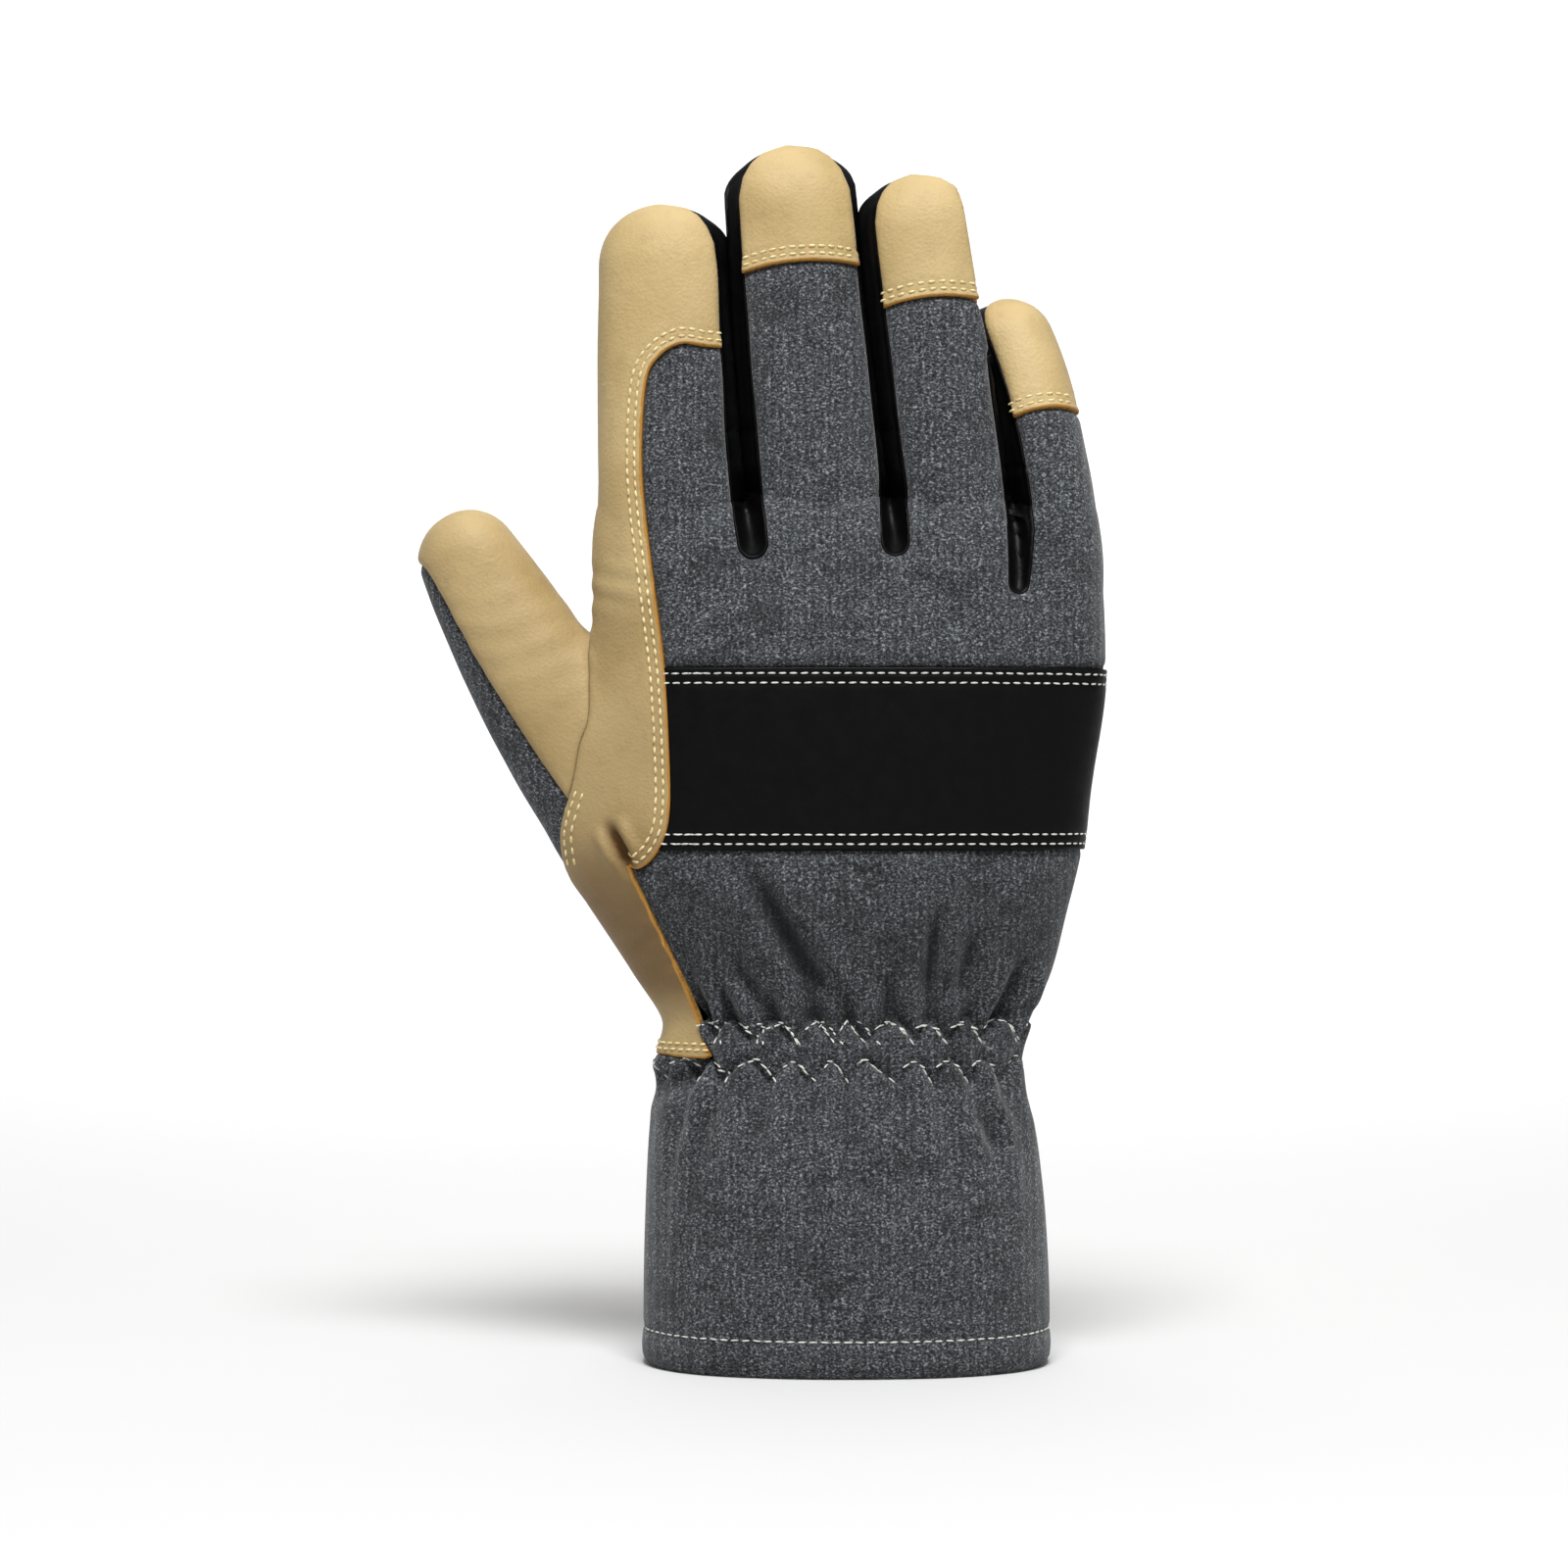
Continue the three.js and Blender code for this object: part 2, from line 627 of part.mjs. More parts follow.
const finishes = {
  heatherCloth: { color: 0x4b5058, roughness: 0.95, metalness: 0 },
  tanLeather: { color: 0xcdb582, roughness: 0.72, metalness: 0 },
  blackLeather: { color: 0x121315, roughness: 0.5, metalness: 0 },
};
const finishOf = (name) => {
  if (/^(cuff|back_|thumb_back)/.test(name)) return finishes.heatherCloth;
  return /^(knuckle_strap|fourchette)/.test(name) ? finishes.blackLeather : finishes.tanLeather;
};

// The glove stands at the middle of its outline on the ground
const standing = new THREE.Group();
for (const [name, solid] of Object.entries(panels)) {
  const geometry = geometryOf(largestBody(solid));
  const mesh = new THREE.Mesh(geometry, new THREE.MeshStandardMaterial(finishOf(name)));
  mesh.name = name;
  standing.add(mesh);
}
const outline = new THREE.Box3().setFromObject(standing);
const centre = outline.getCenter(new THREE.Vector3());
standing.position.set(-centre.x, -centre.y, -outline.min.z);

const glove = new THREE.Group();
glove.add(standing);

export default glove;
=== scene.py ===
# Arc flash work glove for the right hand: heathered cloth back and cuff, goatskin palm, thumb and
# finger caps, black leather between the fingers and across the knuckles. Shapes are worked out in
# millimetres from the middle of the cuff's foot, then placed in the frame in metres.
import json
import math

import bpy
import numpy as np
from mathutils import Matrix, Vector
from mathutils.bvhtree import BVHTree
from mathutils.kdtree import KDTree

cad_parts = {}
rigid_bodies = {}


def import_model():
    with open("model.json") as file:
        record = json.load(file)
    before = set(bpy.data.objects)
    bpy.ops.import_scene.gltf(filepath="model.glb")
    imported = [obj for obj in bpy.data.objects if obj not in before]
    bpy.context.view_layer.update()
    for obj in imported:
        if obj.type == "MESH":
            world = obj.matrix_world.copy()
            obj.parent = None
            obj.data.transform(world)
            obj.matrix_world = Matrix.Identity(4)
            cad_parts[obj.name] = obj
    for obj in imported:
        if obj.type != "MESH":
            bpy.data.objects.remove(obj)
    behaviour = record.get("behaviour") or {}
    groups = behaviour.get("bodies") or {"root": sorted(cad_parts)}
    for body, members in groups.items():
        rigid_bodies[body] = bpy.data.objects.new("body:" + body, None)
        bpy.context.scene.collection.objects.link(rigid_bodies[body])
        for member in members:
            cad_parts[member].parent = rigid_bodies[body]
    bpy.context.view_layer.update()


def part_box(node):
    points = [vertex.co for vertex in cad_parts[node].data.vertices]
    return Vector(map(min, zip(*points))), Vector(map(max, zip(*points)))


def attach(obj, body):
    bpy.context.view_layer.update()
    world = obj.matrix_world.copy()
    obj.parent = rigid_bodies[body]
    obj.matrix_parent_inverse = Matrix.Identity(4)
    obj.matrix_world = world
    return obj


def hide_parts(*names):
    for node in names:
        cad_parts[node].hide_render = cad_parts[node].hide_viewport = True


for thing in list(bpy.data.objects):  # the start-up cube, light and camera
    bpy.data.objects.remove(thing)
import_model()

cuffLow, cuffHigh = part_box("cuff")
strapLow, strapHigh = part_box("knuckle_strap")
mm = 0.001
origin = np.array([(cuffLow.x + cuffHigh.x) / 2, 0, 0]) / mm  # middle of the cuff's foot, in mm

# Sizes of the whole glove, in mm
glove = {
    "cuffLength": round(cuffHigh.z / mm),
    "handLength": 131,
    "strapFoot": round(strapLow.z / mm),
    "strapTop": round(strapHigh.z / mm),
    "cuffWidth": 95,
    "cuffDepth": 64,
    "wristWidth": 84,
    "handWidth": 118,
    "handDepth": 47,
    "fingerDepth": 27,
    "thumbDepth": 28,
    "sectionPower": 2.3,
    "domePower": 2.2,
    "handDome": 6,  # how high the hand's upper end is rounded, between the fingers
    "rootDome": 40,  # how far a finger reaches down into the hand
    "sideSeamBack": 5,
    "fingerBase": 0.9,
    "capArch": 2,
    "grid": 1.0,  # size of one face of the skin
    "thin": 1.2,  # the skin is found this far inside and blown up again, which opens the gaps
    "blend": 5.0,  # how softly a finger flows into the hand
    "thumbBlend": 9,
}
cuffLength, handLength, handWidth = glove["cuffLength"], glove["handLength"], glove["handWidth"]

# rootAcross, rootWidth, tipWidth and swell are shares of handWidth, rootUp is a share of handLength
# above the wrist, lean is towards the thumb in degrees, spread the extra lean while the skin is
# found. length, bow, curl, setBack and capLength are in mm, and clothLeft and clothRight say how far
# the cloth reaches, as shares of the half width
digits = {
    "index": dict(rootAcross=-0.333, rootUp=0.87, lean=2.1, length=85.3, rootWidth=0.296,
                  tipWidth=0.246, swell=0, bow=-0.6, curl=6, setBack=0, spread=6,
                  clothLeft=1.2, clothRight=0.8, capLength=34),
    "middle": dict(rootAcross=-0.042, rootUp=0.87, lean=5.2, length=99.7, rootWidth=0.284,
                   tipWidth=0.26, swell=0, bow=-0.3, curl=7, setBack=0, spread=2,
                   clothLeft=0.79, clothRight=0.91, capLength=28.8),
    "ring": dict(rootAcross=0.22, rootUp=0.87, lean=6.7, length=92.5, rootWidth=0.237,
                 tipWidth=0.232, swell=0, bow=0, curl=4, setBack=0, spread=-2,
                 clothLeft=0.72, clothRight=0.93, capLength=30),
    "little": dict(rootAcross=0.424, rootUp=0.82, lean=11.3, length=71.8, rootWidth=0.166,
                   tipWidth=0.158, swell=0, bow=3.4, curl=17, setBack=1.5, spread=-6,
                   clothLeft=0.58, clothRight=1.2, capLength=28.5),
    "thumb": dict(rootAcross=-0.39, rootUp=0.344, lean=31.2, length=94.2, rootWidth=0.28,
                  tipWidth=0.168, swell=0.042, bow=-1, curl=9, setBack=4, spread=0),
}
fingerNames = ["index", "middle", "ring", "little"]

# along is a share of handLength above the wrist, left and right shares of the way from half the
# wrist's width to half the hand's width, back and palm shares of half the hand's depth
handRows = [
    # along, left, right, back, palm
    (0.0, 0.1, -0.06, 0.96, 0.98),
    (0.06, -0.02, 0.05, 0.95, 0.98),
    (0.15, 0.27, 0.37, 0.96, 1.02),
    (0.255, 0.64, 0.59, 0.97, 1.1),
    (0.36, 1.2, 0.77, 0.96, 1.15),
    (0.485, 1.2, 0.86, 0.94, 1.12),
    (0.675, 1.03, 0.88, 0.9, 1.02),
    (0.83, 0.94, 0.93, 0.79, 0.86),
    (0.94, 0.88, 0.93, 0.64, 0.67),
    (1.0, 0.7, 0.8, 0.42, 0.45),
]
# along is a share of cuffLength, flare the share of the way from the wrist to the cuff's full size
cuffRows = [(0.0, 0.98), (0.05, 1.0), (0.3, 0.98), (0.6, 0.78), (0.76, 0.5), (0.9, 0.1)]


def mix(a, b, share):
    return a + (b - a) * share


def ease(low, high, value):
    t = np.clip((value - low) / (high - low), 0, 1)
    return t * t * (3 - 2 * t)


def bodyTable():  # z, left, right, back, palm of each section, in mm
    halfWrist, halfHand, halfDepth = glove["wristWidth"] / 2, handWidth / 2, glove["handDepth"] / 2
    hand = [
        (cuffLength + along * handLength, mix(halfWrist, halfHand, left),
         mix(halfWrist, halfHand, right), back * halfDepth, palm * halfDepth)
        for along, left, right, back, palm in handRows
    ]
    wrist = np.array(hand[0][1:])
    full = np.array([glove["cuffWidth"]] * 2 + [glove["cuffDepth"]] * 2) / 2
    cuff = [(along * cuffLength, *mix(wrist, full, flare)) for along, flare in cuffRows]
    return np.array(cuff + hand)


bodyRows = bodyTable()
crotchZ = bodyRows[-1, 0] - 5  # where the fingers part


def bodyAt(z):  # the section's left, right, back and palm at any height, on a smooth line
    rows = bodyRows
    slope = np.gradient(rows[:, 1:], rows[:, 0], axis=0)
    z = np.clip(z, rows[0, 0], rows[-1, 0])
    i = np.clip(np.searchsorted(rows[:, 0], z) - 1, 0, len(rows) - 2)
    step = rows[i + 1, 0] - rows[i, 0]
    t = ((z - rows[i, 0]) / step)[..., None]
    step = step[..., None]
    return ((2 * t**3 - 3 * t**2 + 1) * rows[i, 1:] + (t**3 - 2 * t**2 + t) * step * slope[i]
            + (3 * t**2 - 2 * t**3) * rows[i + 1, 1:] + (t**3 - t**2) * step * slope[i + 1])


# Distance to a rounded-box section with half sizes a and b, inside negative. over is how far past
# the start of its dome a point lies, as a share
def fromSurface(x, y, a, b, over):
    n, dome = glove["sectionPower"], glove["domePower"]
    rho = (np.abs(x / a) ** n + np.abs(y / b) ** n) ** (1 / n)
    rho = (rho**dome + over**dome) ** (1 / dome)
    r = np.sqrt(x * x + y * y + (over * a) ** 2)
    return r * (1 - 1 / np.maximum(rho, 1e-3))


def bodyField(p):
    left, right, back, palm = np.moveaxis(bodyAt(p[..., 2]), -1, 0)
    a = np.where(p[..., 0] > 0, right, left)
    b = np.where(p[..., 1] > 0, palm, back)
    top = bodyRows[-1, 0]
    over = np.maximum(p[..., 2] - top + glove["handDome"], 0) / glove["handDome"]
    return fromSurface(p[..., 0], p[..., 1], a, b, over)


def digitHalf(digit, share):  # half width, and half depth beside it
    swell = digit["swell"] * 4 * share * (1 - share)
    half = (mix(digit["rootWidth"], digit["tipWidth"], share) + swell) * handWidth / 2
    depth = glove["thumbDepth"] if digit is digits["thumb"] else glove["fingerDepth"]
    return half, mix(1, 0.9, share) * depth / 2


def turned(x, z, degrees):  # leans a point of the (x, z) plane towards the thumb
    c, s = math.cos(math.radians(degrees)), math.sin(math.radians(degrees))
    return c * x - s * z, s * x + c * z


def rootOf(digit):
    return digit["rootAcross"] * handWidth, cuffLength + digit["rootUp"] * handLength


def intoDigit(p, digit, spread=0.0):  # a point in the digit's own frame, and its share of the length
    rootX, rootZ = rootOf(digit)
    x, z = turned(p[..., 0] - rootX, p[..., 2] - rootZ, -(digit["lean"] + spread))
    share = z / digit["length"]
    held = np.clip(share, 0, 1)
    x = x - digit["bow"] * 4 * held * (1 - held)
    y = p[..., 1] - digit["setBack"] - digit["curl"] * held * held
    return x, y, share


def digitField(p, digit, spread):
    x, y, share = intoDigit(p, digit, spread)
    a, b = digitHalf(digit, np.clip(share, 0, 1))
    dome = digitHalf(digit, 1)[0] / digit["length"]
    below = np.maximum(-share * digit["length"] / glove["rootDome"], 0)
    return fromSurface(x, y, a, b, np.maximum((share - 1 + dome) / dome, 0) + below)


def smoothUnion(a, b, radius):
    h = np.maximum(radius - np.abs(a - b), 0) / radius
    return np.minimum(a, b) - h * h * radius / 4


def gloveField(p):
    fields = [digitField(p, digit, digit["spread"]) for digit in digits.values()]
    fingers = np.minimum.reduce(fields[:4])
    hand = smoothUnion(bodyField(p), fields[4], glove["thumbBlend"])
    return smoothUnion(hand, fingers, glove["blend"])


def gradient(field, p, step=0.05):
    parts = []
    for axis in range(3):
        shift = np.zeros(p.shape[-1])
        shift[axis] = step
        parts.append((field(p + shift) - field(p - shift)) / (2 * step))
    return np.stack(parts, -1)


# Faces of the skin: one point in each grid cell that the surface crosses, joined across the cells
def surfaceNet(field, low, high, size):
    axes = [np.arange(a, b + size, size) for a, b in zip(low, high)]
    points = np.stack(np.meshgrid(*axes, indexing="ij"), -1)
    values = np.concatenate([field(slab) for slab in np.array_split(points, 12)])
    inside = values < 0
    cells = tuple(n - 1 for n in values.shape)
    corners = np.array([(i, j, k) for i in (0, 1) for j in (0, 1) for k in (0, 1)])
    total, weight = np.zeros(cells + (3,)), np.zeros(cells)

    def atCorner(a, c):
        return a[c[0] : c[0] + cells[0], c[1] : c[1] + cells[1], c[2] : c[2] + cells[2]]

    for c in corners:
        for axis in range(3):
            if c[axis]:
                continue
            d = c.copy()
            d[axis] = 1
            va, vb = atCorner(values, c), atCorner(values, d)
            crosses = (va < 0) != (vb < 0)
            t = np.where(crosses, va / np.where(crosses, va - vb, 1), 0)
            at = np.broadcast_to(c.astype(float), cells + (3,)).copy()
            at[..., axis] += t
            total += at * crosses[..., None]
            weight += crosses
    used = weight > 0
    number = np.full(cells, -1)
    number[used] = np.arange(used.sum())
    base = np.stack(np.meshgrid(*[np.arange(n) for n in cells], indexing="ij"), -1)[used]
    verts = np.array(low) + (base + total[used] / weight[used][:, None]) * size
    quads = []
    for axis in range(3):
        u, v = (axis + 1) % 3, (axis + 2) % 3
        a = np.moveaxis(inside, (axis, u, v), (0, 1, 2))
        n = np.moveaxis(number, (axis, u, v), (0, 1, 2))
        change = a[1:, 1:-1, 1:-1] != a[:-1, 1:-1, 1:-1]
        i, j, k = np.nonzero(change)
        quad = np.stack([n[i, j, k], n[i, j + 1, k], n[i, j + 1, k + 1], n[i, j, k + 1]], -1)
        flip = a[i + 1, j + 1, k + 1]
        quad[flip] = quad[flip][:, ::-1]
        quads.append(quad)
    return verts, np.concatenate(quads)


def vertexNormals(verts, tris):
    face = np.cross(verts[tris[:, 1]] - verts[tris[:, 0]], verts[tris[:, 2]] - verts[tris[:, 0]])
    total = np.stack(
        [np.bincount(tris.ravel(), np.repeat(face[:, i], 3), len(verts)) for i in range(3)], -1)
    return total / np.maximum(np.linalg.norm(total, axis=1), 1e-9)[:, None]


def neighbourMean(values, edges, count):
    ends = np.concatenate([edges, edges[:, ::-1]])
    n = np.maximum(np.bincount(ends[:, 0], minlength=count), 1)
    if values.ndim == 1:
        return np.bincount(ends[:, 0], values[ends[:, 1]], count) / n
    return np.stack(
        [np.bincount(ends[:, 0], values[ends[:, 1], i], count) / n for i in range(values.shape[1])], -1)


def edgesOf(tris):
    pairs = np.sort(np.concatenate([tris[:, [0, 1]], tris[:, [1, 2]], tris[:, [2, 0]]]), 1)
    return np.unique(pairs, axis=0)


# The middle of the gap between two neighbouring fingers, as x at a height
def gapAt(left, right, z):
    sides = []
    for digit, side in ((digits[left], 1), (digits[right], -1)):
        rootX, rootZ = rootOf(digit)
        up = z - rootZ
        share = np.clip(up / math.cos(math.radians(digit["lean"])) / digit["length"], -0.3, 1.2)
        held = np.clip(share, 0, 1)
        x = digit["bow"] * 4 * held * (1 - held) + side * digitHalf(digit, held)[0]
        sides.append(rootX + x - up * math.tan(math.radians(digit["lean"])))
    return (sides[0] + sides[1]) / 2


# The whole outer skin at rest, with the fingers side by side
def makeSkin():
    low, high = (-100, -37, -4), (82, 40, 294)  # room for the spread fingers, in mm

    def field(p):
        return gloveField(p) + glove["thin"]

    verts, quads = surfaceNet(field, low, high, glove["grid"])
    tris = np.concatenate([quads[:, [0, 1, 2]], quads[:, [0, 2, 3]]])
    edges = edgesOf(tris)
    for _ in range(4):  # evens the faces out and pulls them back to the surface
        verts = mix(verts, neighbourMean(verts, edges, len(verts)), 0.6)
        g = gradient(field, verts)
        verts = verts - g * (field(verts) / np.maximum((g * g).sum(-1), 0.2))[:, None]
    names = list(digits)
    nearness = np.stack([digitField(verts, digits[n], digits[n]["spread"]) for n in names], -1)
    owner = np.argmin(nearness, 1)
    weights = np.exp(-(nearness - nearness.min(1, keepdims=True)))
    weights /= weights.sum(1, keepdims=True)
    moved = np.zeros_like(verts)
    for k, name in enumerate(names):
        digit = digits[name]
        rootX, rootZ = rootOf(digit)
        along = intoDigit(verts, digit, digit["spread"])[2] * digit["length"]
        back = -digit["spread"] * ease(-4, 22, along)
        c, s = np.cos(np.radians(back)), np.sin(np.radians(back))
        dx, dz = verts[:, 0] - rootX, verts[:, 2] - rootZ
        x, z = c * dx - s * dz, s * dx + c * dz
        moved += weights[:, [k]] * np.stack([rootX + x, verts[:, 1], rootZ + z], -1)
    normals = vertexNormals(moved, tris)
    verts = moved + normals * glove["thin"]
    for k, (left, right) in enumerate(zip(fingerNames, fingerNames[1:])):
        # the two walls press together along a slightly bent line, so that no light comes through
        gap = gapAt(left, right, verts[:, 2]) + 0.45 * np.sin(verts[:, 1] * 0.75)
        above = verts[:, 2] > crotchZ
        for side, number in ((-1, k), (1, k + 1)):
            wall = above & (owner == number)
            off = side * (verts[wall, 0] - gap[wall])
            closer = 0.9 * ease(crotchZ, crotchZ + 4, verts[wall, 2]) * (1 - ease(1, 5, off))
            verts[wall, 0] = gap[wall] + side * np.maximum(off - closer, 0.12)
    x, y, z = verts.T
    for (left, right), (across, foot, half) in seams["slots"].items():  # hollows between the knuckles
        low = place(across, foot)[1]
        middle = mix(across * handWidth / 2, gapAt(left, right, z), ease(low, crotchZ, z))
        depth = mix(1.6, 2.3 * half, ease(low, crotchZ, z))
        depth *= ease(low - 1, low + 4, z) * ease(crotchZ + 12, crotchZ, z)
        verts[:, 1] += depth * ease(3, -8, y) * np.exp(-(((x - middle) / (0.55 * half)) ** 2))
    normals = vertexNormals(verts, tris)
    for _ in range(4):  # evened out, so that deep folds don't run into each other
        normals = mix(normals, neighbourMean(normals, edges, len(verts)), 0.7)
    normals /= np.linalg.norm(normals, axis=1)[:, None]
    return np.column_stack([verts, normals, owner]), tris


# Seam lines seen from the back of the hand: across is a share of half the hand's width, up a share
# of handLength above the wrist
seams = {
    "wrapEdge": [(-0.802, 1.073), (-0.789, 0.965), (-0.745, 0.81), (-0.706, 0.664), (-0.687, 0.503),
                 (-0.69, 0.425), (-0.718, 0.378), (-0.78, 0.341), (-0.842, 0.334), (-0.889, 0.365)],
    "wristEdge": [(-0.889, 0.365), (-0.846, 0.334), (-0.735, 0.219), (-0.644, 0.109), (-0.552, 0.0)],
    "thumbBack": [(-1.001, 0.77), (-1.02, 0.732), (-1.015, 0.667), (-1.017, 0.597), (-1.051, 0.55),
                  (-1.08, 0.48), (-1.132, 0.4), (-1.122, 0.34)],
    "thumbPalm": [(-1.03, 0.8), (-0.9, 0.7), (-0.74, 0.58), (-0.72, 0.47), (-0.84, 0.37), (-1.04, 0.3)],
    # across, and the drop below the cap's top as a share of the cap
    "wrapTop": [(-0.505, 0.018), (-0.65, 0.0), (-0.745, 0.106), (-0.787, 0.282)],
    "thumbCloth": [(-0.1, 0.33), (0.24, 0.46), (0.56, 0.59), (0.88, 0.76), (0.96, 1.1)],  # along, edge
    # across, foot, half width in mm of the black tongue between two fingers
    "slots": {("index", "middle"): (-0.368, 0.88, 3.4), ("middle", "ring"): (0.19, 0.884, 3.2),
              ("ring", "little"): (0.675, 0.817, 2.5)},
    "slotMerge": 14,  # from a tongue's foot to where its edges follow the fingers, in mm
    "thumbFloor": 0.285,
}
far = 400
ownerColumn = 6  # a row of the skin's table holds a point, its normal and the number of its finger
wristZ = cuffLength
baseZ = cuffLength + glove["fingerBase"] * handLength


def place(across, up):
    return across * handWidth / 2, cuffLength + up * handLength


def smoothLine(points, perSpan=6):  # a smooth line through a few points
    points = np.array(points, float)
    rows = np.vstack([2 * points[0] - points[1], points, 2 * points[-1] - points[-2]])
    t = np.linspace(0, 1, perSpan, endpoint=False)[:, None]
    spans = []
    for a, b, c, d in zip(rows, rows[1:], rows[2:], rows[3:]):
        spans.append(0.5 * (2 * b + (c - a) * t + (2 * a - 5 * b + 4 * c - d) * t**2
                            + (3 * b - a - 3 * c + d) * t**3))
    return np.vstack(spans + [points[-1:]])


def insideOf(outline):  # signed distance in the (x, z) plane to a closed outline, positive inside
    a = np.array(outline, float)
    b = np.roll(a, -1, axis=0)

    def distance(p):
        x, z = p[..., 0], p[..., 2]
        best = np.full(x.shape, 1e9)
        inside = np.zeros(x.shape, bool)
        for (ax, az), (bx, bz) in zip(a, b):
            dx, dz = bx - ax, bz - az
            t = np.clip(((x - ax) * dx + (z - az) * dz) / max(dx * dx + dz * dz, 1e-9), 0, 1)
            best = np.minimum(best, (x - ax - t * dx) ** 2 + (z - az - t * dz) ** 2)
            if az != bz:
                inside ^= ((az > z) != (bz > z)) & (x < dx * (z - az) / dz + ax)
        return np.where(inside, 1, -1) * np.sqrt(best)

    return distance


def leftOf(points):  # everything on the thumb's side of a line, which runs upwards
    low, high = points[0], points[-1]
    return insideOf([(-far, -far), (low[0], -far), *points, (high[0], far), (-far, far)])


def digitLine(name, edge, fromZ):  # a line up a finger at a share of its half width
    digit = digits[name]
    rootX, rootZ = rootOf(digit)
    steps = np.array([0, 0.2, 0.4, 0.6, 0.75, 0.85, 0.91, 0.95, 0.98, 1])
    shares = mix((fromZ - rootZ) / digit["length"], 1, steps)
    half = digitHalf(digit, shares)[0]
    dome = digitHalf(digit, 1)[0] / digit["length"]
    into = np.clip((shares - 1 + dome) / dome, 0, 1)
    scale = (1 - into ** glove["domePower"]) ** (1 / glove["domePower"])
    x, z = turned(digit["bow"] * 4 * shares * (1 - shares) + edge * half * scale,
                  digit["length"] * shares, digit["lean"])
    return np.stack([rootX + x, rootZ + z], -1)


def slotOutline(pair):
    across, foot, half = seams["slots"][pair]
    x, z = place(across, foot)
    middle = z + half
    arc = [(x + half * math.cos(a), middle + half * math.sin(a)) for a in np.linspace(-math.pi, 0, 13)]
    leftLine = digitLine(pair[0], digits[pair[0]]["clothRight"], middle + seams["slotMerge"])
    rightLine = digitLine(pair[1], -digits[pair[1]]["clothLeft"], middle + seams["slotMerge"])
    top = max(leftLine[-1][1], rightLine[-1][1]) + 20
    return [*arc, *rightLine, (rightLine[-1][0], top), (leftLine[-1][0], top), *leftLine[::-1]]


slotPairs = list(seams["slots"])
slotSides = {pair: insideOf(slotOutline(pair)) for pair in slotPairs}
indexCap = rootOf(digits["index"])[1] + digits["index"]["length"] - digits["index"]["capLength"]
wrapArc = [(a * handWidth / 2, indexCap - d * digits["index"]["capLength"]) for a, d in seams["wrapTop"]]
wrapLine = smoothLine([(0, indexCap), *wrapArc, *[place(*row) for row in seams["wrapEdge"]]])
wrapFloor = wrapLine[-1][1]
wrapSide = insideOf([(0, far), (-far, far), (-far, wrapFloor), *wrapLine[::-1]])
wristLine = smoothLine([place(*row) for row in seams["wristEdge"]])
wristSide = leftOf(wristLine[::-1])
thumbLine = smoothLine([place(*row) for row in seams["thumbBack"]])
thumbBackSide = leftOf(thumbLine[::-1])
thumbPalmSide = leftOf(smoothLine([place(*row) for row in seams["thumbPalm"]])[::-1])
strapFoot, strapTop = glove["strapFoot"], glove["strapTop"]


def columnSide(k):  # positive nearer to finger k than to its neighbours
    def distance(p):
        sides = [np.full(p.shape[:-1], 1e3)]
        if k > 0:
            sides.append(p[..., 0] - gapAt(fingerNames[k - 1], fingerNames[k], p[..., 2]))
        if k < 3:
            sides.append(gapAt(fingerNames[k], fingerNames[k + 1], p[..., 2]) - p[..., 0])
        side = np.minimum.reduce(sides)
        owner = p[..., ownerColumn]
        owned = np.where(np.abs(owner - k) < 0.5, np.maximum(side, 1), np.minimum(side, -1))
        return np.where((p[..., 2] > crotchZ + 1) & (owner < 3.5), owned, side)

    return distance


def frontSide(p):  # positive on the palm's side of the side seams, which follow the fingers' curl
    seam = np.full(p.shape[:-1], 0.0)
    for k, name in enumerate(fingerNames):
        share = intoDigit(p, digits[name])[2]
        y = digits[name]["setBack"] + digits[name]["curl"] * np.clip(share, 0, 1.2) ** 2
        y = y * ease(0, 0.2, share)
        seam = np.where(columnSide(k)(p) > 0, y, seam)
    return p[..., 1] - seam - glove["sideSeamBack"]


def thumbSide(p):
    blend = ease(-3, 9, p[..., 1])
    side = mix(thumbBackSide(p), thumbPalmSide(p), blend)
    return np.minimum(side, p[..., 2] - place(0, seams["thumbFloor"])[1])


def thumbClothSide(p):
    x, _, share = intoDigit(p, digits["thumb"])
    alongs, edges = np.array(seams["thumbCloth"]).T
    line = smoothLine(np.stack([alongs, edges], -1))
    edge = np.interp(share, line[:, 0], line[:, 1])
    half = digitHalf(digits["thumb"], np.clip(share, 0, 1))[0]
    return np.minimum(-x - edge * half, (share + 0.1) * digits["thumb"]["length"])


def capSide(k):
    digit = digits[fingerNames[k]]

    def distance(p):
        x, _, share = intoDigit(p, digit)
        half = digitHalf(digit, np.clip(share, 0, 1))[0]
        height = share * digit["length"] - (digit["length"] - digit["capLength"])
        arched = height + glove["capArch"] * np.clip(x / half, -1.6, 1.6) ** 2
        return np.where(np.abs(p[..., ownerColumn] - k) < 0.5, arched, -5)

    return distance


def palmSide(p):
    strip = np.minimum(wristSide(p), wrapFloor + 3 - p[..., 2])
    return np.minimum(np.maximum(frontSide(p), strip), p[..., 2] - wristZ)


def sheetSide(p):  # palm, index front and index wrap are cut from one piece of leather
    index = columnSide(0)(p)
    palm = np.minimum(palmSide(p), np.maximum(baseZ - p[..., 2], index))
    return np.maximum(palm, np.minimum.reduce([wrapSide(p), index, -slotSides[slotPairs[0]](p)]))


